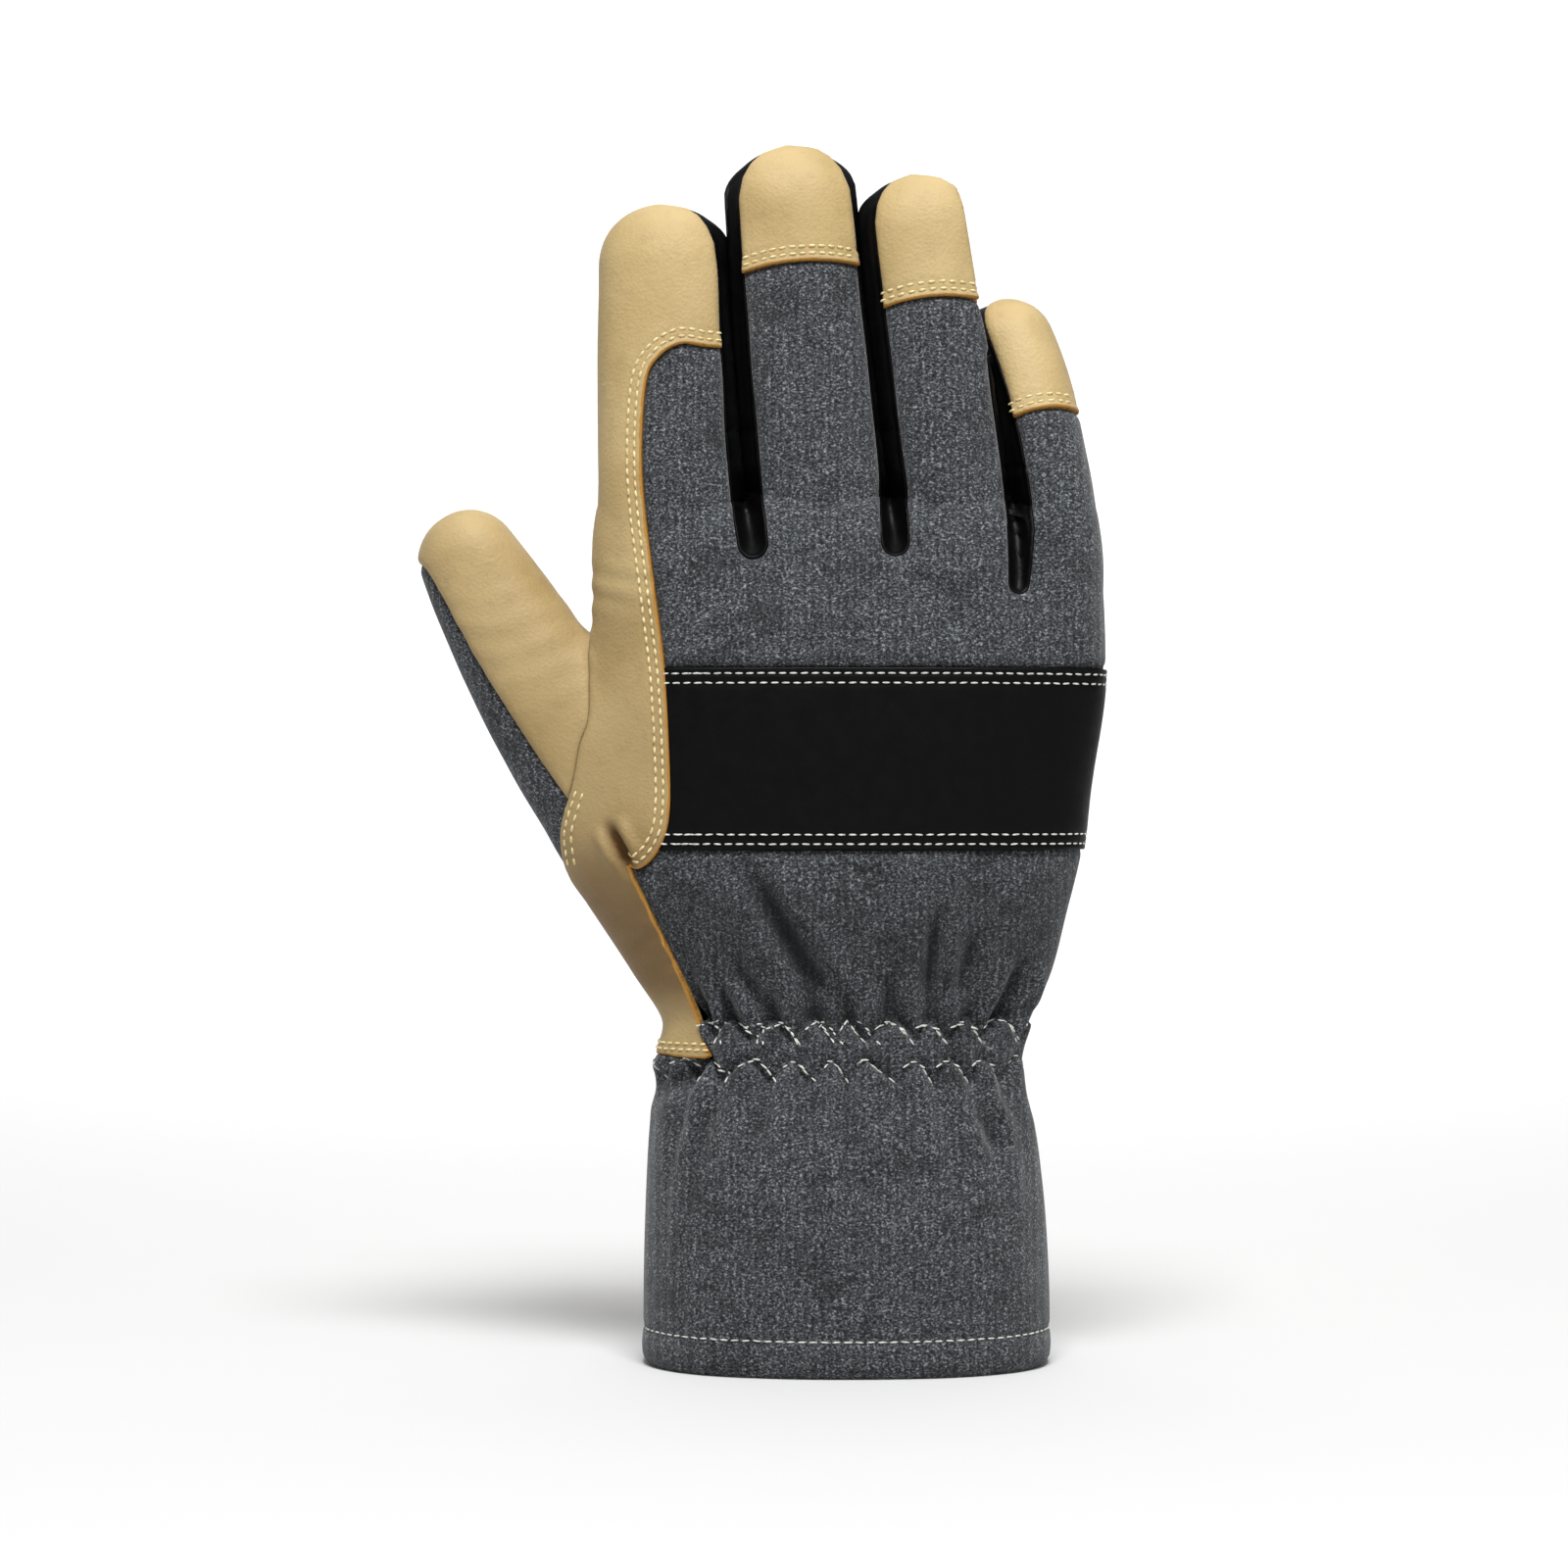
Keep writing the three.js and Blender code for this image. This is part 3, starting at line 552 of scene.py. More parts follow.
# The panels in the order in which they are cut out of the skin
panelSides = {
    "thumb_cloth": lambda p: np.minimum(thumbSide(p), thumbClothSide(p)),
    "thumb_leather": thumbSide,
    "palm_leather": sheetSide,
    **{
        f"{name}_front": (lambda p, k=k: np.minimum(palmSide(p), columnSide(k)(p)))
        for k, name in enumerate(fingerNames) if k
    },
    "knuckle_strap": lambda p: np.minimum(p[..., 2] - strapFoot, strapTop - p[..., 2]),
    **{f"fourchette_{a}_{b}": slotSides[a, b] for a, b in slotPairs},
    **{f"{name}_cap": capSide(k) for k, name in enumerate(fingerNames) if k},
    "upper_cloth": lambda p: p[..., 2] - strapTop,
}


# Puts an edge of the mesh along the line where the values pass zero
def splitAt(table, tris, values):
    count = len(values)
    a, b = tris[:, [0, 1, 2]].ravel(), tris[:, [1, 2, 0]].ravel()
    crossing = values[a] * values[b] < 0
    pairs = np.sort(np.stack([a, b], -1), 1)[crossing]
    pairs, back = np.unique(pairs, axis=0, return_inverse=True)
    newAt = np.full(len(a), -1)
    newAt[crossing] = count + back.ravel()
    newAt = newAt.reshape(-1, 3)
    va, vb = values[pairs[:, 0]], values[pairs[:, 1]]
    t = (va / (va - vb))[:, None]
    table = np.concatenate([table, mix(table[pairs[:, 0]], table[pairs[:, 1]], t)])
    values = np.concatenate([values, np.zeros(len(pairs))])
    crossings = (newAt >= 0).sum(1)
    kept = [tris[crossings == 0]]
    for i in range(3):
        j, k = (i + 1) % 3, (i + 2) % 3
        one = (crossings == 1) & (newAt[:, i] >= 0)  # the line leaves through the opposite corner
        n, tri = newAt[one, i], tris[one]
        kept += [np.stack([tri[:, i], n, tri[:, k]], -1), np.stack([n, tri[:, j], tri[:, k]], -1)]
        two = (crossings == 2) & (newAt[:, i] >= 0) & (newAt[:, k] >= 0)  # it cuts off corner i
        n, m, tri = newAt[two, i], newAt[two, k], tris[two]
        kept += [np.stack([tri[:, i], n, m], -1), np.stack([n, tri[:, j], tri[:, k]], -1),
                 np.stack([n, tri[:, k], m], -1)]
    return table, np.concatenate(kept), values


def borderOf(tris):
    pairs = np.concatenate([tris[:, [0, 1]], tris[:, [1, 2]], tris[:, [2, 0]]])
    keys, first, count = np.unique(np.sort(pairs, 1), axis=0, return_index=True, return_counts=True)
    return pairs[first[count == 1]]


# Slides points that lie close to a seam onto it, so that no thin faces are left
def snapTo(table, tris, side):
    values = side(table)
    near = np.abs(values) < 0.8
    near[np.unique(borderOf(tris))] = False
    p = table[near]
    n = p[:, 3:6]
    g = gradient(side, p, 0.02)
    g -= (g * n).sum(-1, keepdims=True) * n
    steep = (g * g).sum(-1)
    step = g * (values[near] / np.maximum(steep, 0.04))[:, None]
    small = np.linalg.norm(step, axis=1) < 0.33
    p[small, :3] -= step[small]
    table[near] = p
    again = side(p)
    again[small & (np.abs(again) < 0.12)] = 0
    values[near] = again
    return table, values


def compact(table, tris):
    used, index = np.unique(tris, return_inverse=True)
    return table[used], index.reshape(-1, 3)


# Which faces belong to a patch of some size, rather than to a few loose faces beside a seam
def inPatch(tris, chosen, least=60):
    number = np.arange(tris.max() + 1)
    edges = edgesOf(tris[chosen])
    while True:
        lower = np.minimum(number[edges[:, 0]], number[edges[:, 1]])
        before = number.copy()
        np.minimum.at(number, edges[:, 0], lower)
        np.minimum.at(number, edges[:, 1], lower)
        number = number[number]
        if (number == before).all():
            break
    patch = number[tris[:, 0]]
    sizes = np.bincount(patch[chosen], minlength=len(number))
    return chosen & (sizes[patch] >= least)


def cutPanels(table, tris):
    panels = {}
    table, values = snapTo(table, tris, lambda p: p[..., 2] - 0.05)
    table, tris, values = splitAt(table, tris, values)
    table, tris = compact(table, tris[values[tris].sum(1) > 0])
    for name, side in panelSides.items():
        table, values = snapTo(table, tris, side)
        table, tris, values = splitAt(table, tris, values)
        inside = inPatch(tris, values[tris].sum(1) > 0)
        panels[name] = compact(table, tris[inside])
        table, tris = compact(table, tris[~inside])
    # least also leaves out a stray sheet that the field has inside the wrist
    panels["lower_cloth"] = compact(table, tris[inPatch(tris, np.ones(len(tris), bool), least=5000)])
    return panels


# Height of each panel over the skin, in mm. edge is the distance to the panel's visible seam.
leather = {
    "proud": 0.85,
    "rounding": 0.5,
    "rows": (1.8, 3.5),  # the stitched rows, from the cut edge
    "channel": 0.26,
    "channelWidth": 0.45,
    "sewnFrom": 125,  # below this height the wrap's edge has no stitches
}
strapRows = (1.4, 3.6)  # from the strap's edges
cloth = {"tuck": 0.45, "tuckWidth": 0.8}
elastic = {
    "count": 22,  # gathers round the wrist
    "shift": 0.8,  # the nearest peak, along the surface from the middle of the back, in mm
    "rows": [(78.2, 5.4, 1), (69.4, 5.8, -1)],  # height of a zigzag, its depth, and which peaks it has
    "puff": 2.2,  # height of the puffs between the two rows
    "ridge": 1.5,  # ridges running down from the lower row, and how far they run
    "fade": 20,
    "lip": 1.0,
    "upper": 1.2,  # grooves running up from the upper row, and how far they run
    "upperFade": 15,
    "step": 2.2,  # how far the cloth is drawn in just above the upper row
    "pinch": 0.8,  # along the thread
    "deepest": 3.2,  # below which nothing sinks, apart from the waist
    "waist": 3.4,  # how far the elastic draws the wrist in, and over what height
    "waistFade": 20,
    "waistZ": 80,
}
# Long folds over the back of the hand: points (x, z) from the top down, depth and half width in mm
folds = [
    ([(-27.5, 121), (-21.9, 113.9), (-12.3, 97.3), (-5.5, 82.2)], 1.7, 3.0),
    ([(-29, 99), (-25.3, 91.9), (-19.2, 82.2)], 1.0, 2.2),
    ([(-9, 96), (-4.6, 89.5), (-1.0, 84)], 0.8, 2.0),
    ([(8.5, 92), (9.5, 86), (9.0, 80)], 0.7, 1.8),
    ([(22.5, 110), (20.7, 103.5), (18.3, 82.2)], 1.3, 2.0),
    ([(32, 103), (29.5, 98.8), (26.1, 84.9)], 1.1, 2.2),
    ([(43, 96), (41.2, 89.8), (39.2, 82.2)], 0.9, 2.0),
    ([(31.3, 61), (34, 56), (37.1, 50)], 0.8, 2.5),
    ([(-30, 72.5), (-36, 69.5), (-43, 64)], 1.5, 2.6),
]
# Beside the wrap's tab
tabFold = ([(-55.5, 127.5), (-53.6, 123.2), (-51.6, 119.5), (-49.8, 116)], 1.5, 1.5)
hem = {"stitch": 8.6, "groove": 0.45, "roll": 1.2}


def wristArc():  # length along the wrist's outline at each angle, from the middle of the back
    angles = np.linspace(-math.pi, math.pi, 721)
    left, right, back, palm = bodyAt(np.array(wristZ + 2.0))
    c, s = np.sin(angles), -np.cos(angles)
    n = glove["sectionPower"]
    a, b = np.where(c > 0, right, left), np.where(s > 0, palm, back)
    r = 1 / ((np.abs(c) / a) ** n + (np.abs(s) / b) ** n) ** (1 / n)
    steps = np.hypot(np.diff(r * c), np.diff(r * s))
    length = np.concatenate([[0], np.cumsum(steps)])
    return angles, length - np.interp(0, angles, length)


arcAngles, arcLengths = wristArc()
wristRound = arcLengths[-1] - arcLengths[0]


def gatherPhase(x, y):  # turns once from one peak of the upper zigzag to the next
    along = np.interp(np.arctan2(x, -y), arcAngles, arcLengths)
    wobble = 0.35 * np.sin(along * 0.21 + 1.3) + 0.25 * np.sin(along * 0.37)
    return 2 * np.pi * ((along - elastic["shift"]) * elastic["count"] / wristRound + wobble * 0.25)


def zigzagAt(phase, row):  # height of a stitched zigzag, with rounded peaks and sharper valleys
    height, depth, side = row
    tri = 2 * np.arcsin(0.97 * np.cos(phase)) / np.pi * side
    return height + depth / 2 * tri


def nearLine(x, z, points):  # distance to a line in the (x, z) plane, and the share of its length
    points = np.array(points, float)
    best, along = np.full(x.shape, 1e9), np.zeros(x.shape)
    spans = np.linalg.norm(np.diff(points, axis=0), axis=1)
    for i, (a, b) in enumerate(zip(points, points[1:])):
        d = b - a
        t = np.clip(((x - a[0]) * d[0] + (z - a[1]) * d[1]) / (d @ d), 0, 1)
        gap = np.hypot(x - a[0] - t * d[0], z - a[1] - t * d[1])
        nearer = gap < best
        best = np.where(nearer, gap, best)
        along = np.where(nearer, (spans[:i].sum() + t * spans[i]) / spans.sum(), along)
    return best, along


def foldDepth(x, z, points, width):  # a groove with a soft ridge on each side, fading to its top
    best, along = nearLine(x, z, points)
    ends = ease(0, 0.45, along) * (1 - 0.75 * ease(0.7, 1, along))
    groove = np.exp(-((best / width) ** 2))
    ridge = np.exp(-((best / width - 1.9) ** 2))
    return (1.7 * groove - ridge) * ends


def softWaves(x, y, z, seed, size):  # low uneven swells
    waves = np.random.default_rng(seed)
    total = np.zeros(x.shape)
    for _ in range(9):
        k = waves.normal(size=3)
        k *= 2 * np.pi / size / np.linalg.norm(k) * waves.uniform(0.6, 1.6)
        total += np.sin(k[0] * x + k[1] * y + k[2] * z + waves.uniform(0, 6.28))
    return total / 9


def waistDepth(p):  # the elastic draws the wrist in on the back
    near = np.exp(-(((p[:, 2] - elastic["waistZ"]) / elastic["waistFade"]) ** 2))
    return elastic["waist"] * near * ease(0.2, 0.9, -p[:, 4])


def lowerCloth(p, edge, cut):
    x, y, z = p[:, 0], p[:, 1], p[:, 2]
    phase, facing = gatherPhase(x, y), ease(0.2, 0.9, -p[:, 4])
    upper, lower = [zigzagAt(phase, row) for row in elastic["rows"]]
    strength = 0.85 + 0.3 * np.sin(phase / 3.1 + 1) * np.sin(phase / 1.7)
    peak = np.cos(phase)  # 1 under the peaks of the upper row, -1 under those of the lower row
    between = ease(-0.5, 0.9, upper - z) * ease(-0.5, 0.5, z - lower)
    above = ease(-0.5, 0.5, z - upper)
    below = ease(-0.5, 0.9, lower - z)
    down = np.clip((upper - z) / np.maximum(upper - lower, 1), 0, 1)
    puff = elastic["puff"] * (1 - down**2) * np.sqrt(0.5 + 0.5 * peak) - 0.6 * elastic["step"] * down**3
    rise = -elastic["upper"] * peak * np.exp(-(((z - upper) / elastic["upperFade"]) ** 2))
    rise -= elastic["step"] * np.exp(-(((z - upper) / 4.5) ** 2)) * (0.3 + 0.7 * facing)
    fall = -elastic["ridge"] * peak * np.exp(-((np.maximum(lower - z, 0) / elastic["fade"]) ** 1.5))
    fall += elastic["lip"] * np.exp(-(((lower - z) / 7) ** 2))
    height = strength * (puff * between + rise * above + fall * below) * (0.4 + 0.6 * facing)
    for line in (upper, lower):
        height -= elastic["pinch"] * np.exp(-(((z - line) / 1.0) ** 2))
    back = ease(4, -6, y)
    for points, depth, width in folds:
        height -= depth * back * foldDepth(x, z, points, width)
    deepest, bend = elastic["deepest"], 0.4
    height = -deepest + bend * np.logaddexp(0, (height + deepest) / bend) - waistDepth(p)
    height += 0.55 * softWaves(x, y, z, 3, 34) * ease(30, 60, z) + 0.35 * softWaves(x, y, z * 0.5, 4, 22)
    height -= hem["groove"] * np.exp(-(((z - hem["stitch"]) / 0.8) ** 2))
    height -= hem["roll"] * (1 - ease(0, 2.6, z)) ** 2
    height += 0.35 * np.exp(-(((z - 4.3) / 3.2) ** 2))
    seam = z > wristZ - 3
    return height - cloth["tuck"] * np.exp(-((edge / cloth["tuckWidth"]) ** 2)) * seam


def clothPaintedShade(p, height):  # painted shade: darker where the knit is drawn together and the light doesn't reach, and in a broad band across the lower back of the hand
    z = p[:, 2]
    sunk = ease(0.4, -2.6, height + waistDepth(p)) * ease(40, 56, z) * ease(122, 112, z)
    return 0.6 * sunk + 0.3 * np.exp(-(((z - 99) / 15) ** 2)) * ease(0.1, 0.8, -p[:, 4])


def upperCloth(p, edge, cut):
    x, y, z = p[:, 0], p[:, 1], p[:, 2]
    height = 0.5 * softWaves(x, y, z, 11, 30)
    height += 0.25 * ease(0.3, 2.5, edge)
    return height - cloth["tuck"] * np.exp(-((edge / cloth["tuckWidth"]) ** 2))


def thumbCloth(p, edge, cut):
    return 0.2 * softWaves(*p[:, :3].T, 12, 20) - 0.5 * np.exp(-((edge / 0.9) ** 2))


def sheetCut(p):  # distance to the visible cut edge of the palm's sheet
    line = nearLine(p[:, 0], p[:, 2], np.concatenate([wrapLine[:-5], wristLine[9:]]))[0]
    return np.minimum(np.where(p[:, 1] < 0, line, far), p[:, 2] - wristZ)


# Painted shade on the tan leather: darker and browner lower down the hand, most in a band just above the
# wrist and in the crease beside the wrap's tab, with a faint random mottle
def leatherPaintedShade(p, height):
    x, y, z = p[:, 0], p[:, 1], p[:, 2]
    fold = foldDepth(x, z, *tabFold[::2]) * ease(2, -6, y)
    return (0.3 * ease(230, 150, z) + 0.5 * ease(128, 106, z) * ease(80, 90, z)
            + 0.6 * np.clip(fold, 0, 1) + 0.1 * softWaves(x, y, z, 8, 20))


def tanLeather(p, edge, cut):  # proud of the cloth, sunk along its stitches, creased where it bends
    x, y, z = p[:, 0], p[:, 1], p[:, 2]
    height = leather["proud"] * (0.66 + 0.34 * np.sqrt(ease(-0.05, leather["rounding"], edge)))
    sewn = z > leather["sewnFrom"]
    for row in leather["rows"]:
        height -= leather["channel"] * np.exp(-(((cut - row) / leather["channelWidth"]) ** 2)) * sewn
    height -= 0.6 * np.exp(-((edge / 0.9) ** 2)) * ease(2, 4, cut)  # turned in at its other seams
    across, depth, width = tabFold
    height -= depth * foldDepth(x, z, across, width) * ease(2, -6, y)
    crease = np.sin((z * 0.9 + 2.4 * np.sin(x * 0.16 + z * 0.05)) * 1.05)
    where = np.exp(-(((z - 98) / 11) ** 2)) * ease(2, -10, y) * 0.3
    where += np.exp(-(((z - 181) / 6) ** 2)) * 0.2 * (x > -62)
    where += np.exp(-(((z - 168) / 12) ** 2)) * 0.12 * (x < -58)
    return height + where * crease + 0.35 * softWaves(x, y, z, 21, 26) - waistDepth(p)


def strapLeather(p, edge, cut):
    z = p[:, 2]
    height = 0.75 * (0.7 + 0.3 * np.sqrt(ease(-0.05, 0.5, edge)))
    for row in strapRows:
        ends = np.minimum(z - strapFoot, strapTop - z)
        height -= 0.22 * np.exp(-(((ends - row) / 0.45) ** 2))
    return height + 0.22 * softWaves(*p[:, :3].T, 31, 30)


slotNamed = {pair[1]: pair for pair in slotPairs}
slotJoin = 30  # from a tongue's foot up to the join


# A rolled rim, then sunk, with a sewn join across a little above the knuckles
def slotLeather(p, edge, cut):
    facing = ease(0.1, 0.5, -p[:, 4])
    height = (-0.2 - 0.7 * ease(0.5, 1.5, edge)) * facing
    for (_, right), (across, foot, _) in seams["slots"].items():
        join = place(across, foot)[1] + slotJoin
        mine = np.abs(p[:, 0] - gapAt(*slotNamed[right], p[:, 2])) < 9
        height -= 0.45 * np.exp(-(((p[:, 2] - join) / 0.7) ** 2)) * mine * ease(-0.2, 0.3, -p[:, 4])
    return height + 0.15 * softWaves(*p[:, :3].T, 33, 14)


def linear(colour):  # an sRGB hex colour as linear RGBA
    parts = [int(colour[i : i + 2], 16) / 255 for i in (1, 3, 5)]
    return (*[c / 12.92 if c <= 0.04045 else ((c + 0.055) / 1.055) ** 2.4 for c in parts], 1)


def addNode(tree, kind, inputs=(), **settings):  # inputs are values, or (node, output) pairs to link
    node = tree.nodes.new(kind)
    for key, value in settings.items():
        setattr(node, key, value)
    for key, value in dict(inputs).items():
        if isinstance(value, tuple) and isinstance(value[0], bpy.types.Node):
            tree.links.new(value[0].outputs[value[1]], node.inputs[key])
        else:
            node.inputs[key].default_value = value
    return node


def addRamp(tree, source, stops):  # stops are pairs of a position and a grey or a hex colour
    ramp = addNode(tree, "ShaderNodeValToRGB", {0: source})
    elements = ramp.color_ramp.elements
    while len(elements) < len(stops):
        elements.new(0.5)
    for element, (at, colour) in zip(elements, stops):
        element.position = at
        element.color = linear(colour) if isinstance(colour, str) else (colour, colour, colour, 1)
    return ramp


def newLook(name, roughness, sheen=0.0, specular=0.5):
    look = bpy.data.materials.new(name)
    look.use_nodes = True
    tree = look.node_tree
    shader = tree.nodes["Principled BSDF"]
    shader.inputs["Roughness"].default_value = roughness
    shader.inputs["Sheen Weight"].default_value = sheen
    shader.inputs["Specular IOR Level"].default_value = specular
    return look, tree, shader


def perMm(size):  # a texture's scale for a pattern of this size in mm
    return 1 / (size * mm)


waveBands = 6.3  # bands that a wave texture draws in one unit at scale 1


# Cotton-blend jersey, knitted from mixed light and dark yarn and brushed: quite matt, with small
# light and dark flecks, faint upright wales and a soft mottle. The fibres are too fine to draw, so
# the finest speckle stands for them
def makeHeatherCloth():
    sizes = {"fleck": 0.56, "speckle": 0.45, "mottle": 4.5, "patch": 16, "wale": 0.95}
    look, tree, shader = newLook("heather jersey", 0.93, sheen=0.18, specular=0.25)
    spot = addNode(tree, "ShaderNodeTexCoord")
    squash = addNode(tree, "ShaderNodeMapping", {"Vector": (spot, "Object"),
                                                 "Scale": (0.85, 0.85, 1.25)})
    fleck = addNode(tree, "ShaderNodeTexNoise", {"Vector": (squash, 0), "Scale": perMm(sizes["fleck"]),
                                                 "Detail": 2.5, "Roughness": 0.62})
    fine = addNode(tree, "ShaderNodeTexNoise", {"Vector": (spot, "Object"), "Detail": 1.0,
                                                "Scale": perMm(sizes["speckle"])})
    mottle = addNode(tree, "ShaderNodeTexNoise", {"Vector": (squash, 0), "Scale": perMm(sizes["mottle"]),
                                                  "Detail": 3.0, "Roughness": 0.6})
    patch = addNode(tree, "ShaderNodeTexNoise", {"Vector": (squash, 0), "Scale": perMm(sizes["patch"]),
                                                 "Detail": 2.0})
    wales = addNode(tree, "ShaderNodeTexWave", {"Vector": (spot, "Object"), "Distortion": 2.2,
                                                "Scale": perMm(sizes["wale"]) / waveBands,
                                                "Detail": 1.5, "Detail Scale": 1.5}, bands_direction="X")
    grained = addNode(tree, "ShaderNodeMix", {"Factor": 0.35, 2: (fleck, "Fac"), 3: (fine, "Fac")})
    both = addNode(tree, "ShaderNodeMix", {"Factor": 0.03, 2: (grained, 0), 3: (wales, "Fac")})
    yarn = addRamp(tree, (both, 0), [(0.36, "#0E0F11"), (0.46, "#2A2C2F"), (0.55, "#4B4E52"),
                                     (0.66, "#94979B")])
    light = addNode(tree, "ShaderNodeMath", {0: (mottle, "Fac"), 1: (patch, "Fac")}, operation="ADD")
    tone = addRamp(tree, (light, 0), [(0.82, 0.5), (1.06, 1.0)])
    colour = addNode(tree, "ShaderNodeMix", {"Factor": 0.75, 6: (yarn, "Color"), 7: (tone, "Color")},
                     data_type="RGBA", blend_type="MULTIPLY")
    # painted shade: the tone attribute mixes the knit towards near black in its gathers and low on the back
    # of the hand
    paintedClothShade = addNode(tree, "ShaderNodeAttribute", attribute_name="tone")
    toned = addNode(tree, "ShaderNodeMix", {"Factor": (paintedClothShade, "Fac"), 6: (colour, 2),
                                            7: linear("#0D0E10")}, data_type="RGBA")
    tree.links.new(toned.outputs[2], shader.inputs["Base Color"])
    relief = addNode(tree, "ShaderNodeMix", {"Factor": 0.3, 2: (both, 0), 3: (wales, "Fac")})
    bump = addNode(tree, "ShaderNodeBump", {"Height": (relief, 0), "Strength": 0.7, "Distance": 0.45 * mm})
    tree.links.new(bump.outputs[0], shader.inputs["Normal"])
    return look


# Goatskin, drum-dyed and lightly oiled: a fine pebbled grain of about 0.8 mm, soft sheen, and an orange
# brown raw colour at its cut edges. Painted shade darkens it to brown lower down the hand and in creases
def makeTanLeather():
    look, tree, shader = newLook("tan goatskin", 0.6, sheen=0.05, specular=0.35)
    spot = addNode(tree, "ShaderNodeTexCoord")
    grain = addNode(tree, "ShaderNodeTexVoronoi", {"Vector": (spot, "Object"), "Scale": perMm(0.8)})
    wrinkle = addNode(tree, "ShaderNodeTexNoise", {"Vector": (spot, "Object"), "Scale": perMm(3.5),
                                                   "Detail": 4.0, "Roughness": 0.65})
    broad = addNode(tree, "ShaderNodeTexNoise", {"Vector": (spot, "Object"), "Scale": perMm(24),
                                                 "Detail": 2.0})
    hide = addRamp(tree, (broad, "Fac"), [(0.3, "#AC9461"), (0.5, "#B8A070"), (0.72, "#BFA978")])
    pores = addRamp(tree, (wrinkle, "Fac"), [(0.28, 0.82), (0.5, 1.0)])
    grained = addNode(tree, "ShaderNodeMix", {"Factor": 0.5, 6: (hide, "Color"), 7: (pores, "Color")},
                      data_type="RGBA", blend_type="MULTIPLY")
    # painted shade: the tone attribute mixes the hide towards dark brown lower down the hand, above the
    # wrist and in the tab's crease
    brown = addNode(tree, "ShaderNodeAttribute", attribute_name="tone")
    toned = addNode(tree, "ShaderNodeMix", {"Factor": (brown, "Fac"), 6: (grained, 2),
                                            7: linear("#5C3E12")}, data_type="RGBA")
    cut = addNode(tree, "ShaderNodeAttribute", attribute_name="toCut")
    ragged = addNode(tree, "ShaderNodeMath", {0: (wrinkle, "Fac"), 1: 0.9, 2: (cut, "Fac")},
                     operation="MULTIPLY_ADD")
    nearCut = addRamp(tree, (ragged, 0), [(0.97, 1.0), (1.0, 0.0)])
    raw = addNode(tree, "ShaderNodeMix", {"Factor": (nearCut, "Color"), 6: (toned, 2),
                                          7: linear("#A8762C")}, data_type="RGBA")
    tree.links.new(raw.outputs[2], shader.inputs["Base Color"])
    relief = addNode(tree, "ShaderNodeMix", {"Factor": 0.55, 2: (grain, "Distance"), 3: (wrinkle, "Fac")})
    bump = addNode(tree, "ShaderNodeBump", {"Height": (relief, 0), "Strength": 0.5, "Distance": 0.4 * mm})
    tree.links.new(bump.outputs[0], shader.inputs["Normal"])
    return look


# The cut side of the same hide, undyed inside: fibrous and dull, orange brown
def makeCutEdge():
    look, tree, shader = newLook("cut goatskin edge", 0.9, specular=0.2)
    spot = addNode(tree, "ShaderNodeTexCoord")
    fibre = addNode(tree, "ShaderNodeTexNoise", {"Vector": (spot, "Object"), "Scale": perMm(0.7)})
    tone = addRamp(tree, (fibre, "Fac"), [(0.35, "#7A5626"), (0.65, "#A8803F")])
    tree.links.new(tone.outputs[0], shader.inputs["Base Color"])
    return look


# Black cowhide, finished with a thin smooth top coat: deep black, a soft satin highlight, hardly
# any grain
def makeBlackLeather():
    look, tree, shader = newLook("black cowhide", 0.45, specular=0.12)
    shader.inputs["Base Color"].default_value = linear("#040405")
    spot = addNode(tree, "ShaderNodeTexCoord")
    grain = addNode(tree, "ShaderNodeTexVoronoi", {"Vector": (spot, "Object"), "Scale": perMm(0.9)})
    swell = addNode(tree, "ShaderNodeTexNoise", {"Vector": (spot, "Object"), "Scale": perMm(4),
                                                 "Detail": 3.0})
    rough = addRamp(tree, (swell, "Fac"), [(0.3, 0.42), (0.7, 0.55)])
    tree.links.new(rough.outputs[0], shader.inputs["Roughness"])
    relief = addNode(tree, "ShaderNodeMix", {"Factor": 0.5, 2: (grain, "Distance"), 3: (swell, "Fac")})
    bump = addNode(tree, "ShaderNodeBump", {"Height": (relief, 0), "Strength": 0.25, "Distance": 0.25 * mm})
    tree.links.new(bump.outputs[0], shader.inputs["Normal"])
    return look


# Bonded polyester sewing thread, twisted: smooth with a low sheen. The twist is too fine to show
def makeThread(name, pale, shade):
    look, tree, shader = newLook(name, 0.5, specular=0.4)
    spot = addNode(tree, "ShaderNodeTexCoord")
    ply = addNode(tree, "ShaderNodeTexNoise", {"Vector": (spot, "Object"), "Scale": perMm(0.6)})
    tone = addRamp(tree, (ply, "Fac"), [(0.35, shade), (0.6, pale)])
    tree.links.new(tone.outputs[0], shader.inputs["Base Color"])
    return look


clothLook, tanLook, blackLook = makeHeatherCloth(), makeTanLeather(), makeBlackLeather()
looks = {"cloth": [clothLook], "tan": [tanLook, makeCutEdge()], "black": [blackLook]}
creamThread = makeThread("cream thread", "#EBDCAA", "#CDB57A")
whiteThread = makeThread("white thread", "#DEDED6", "#B9B9B2")
surfaces = {}
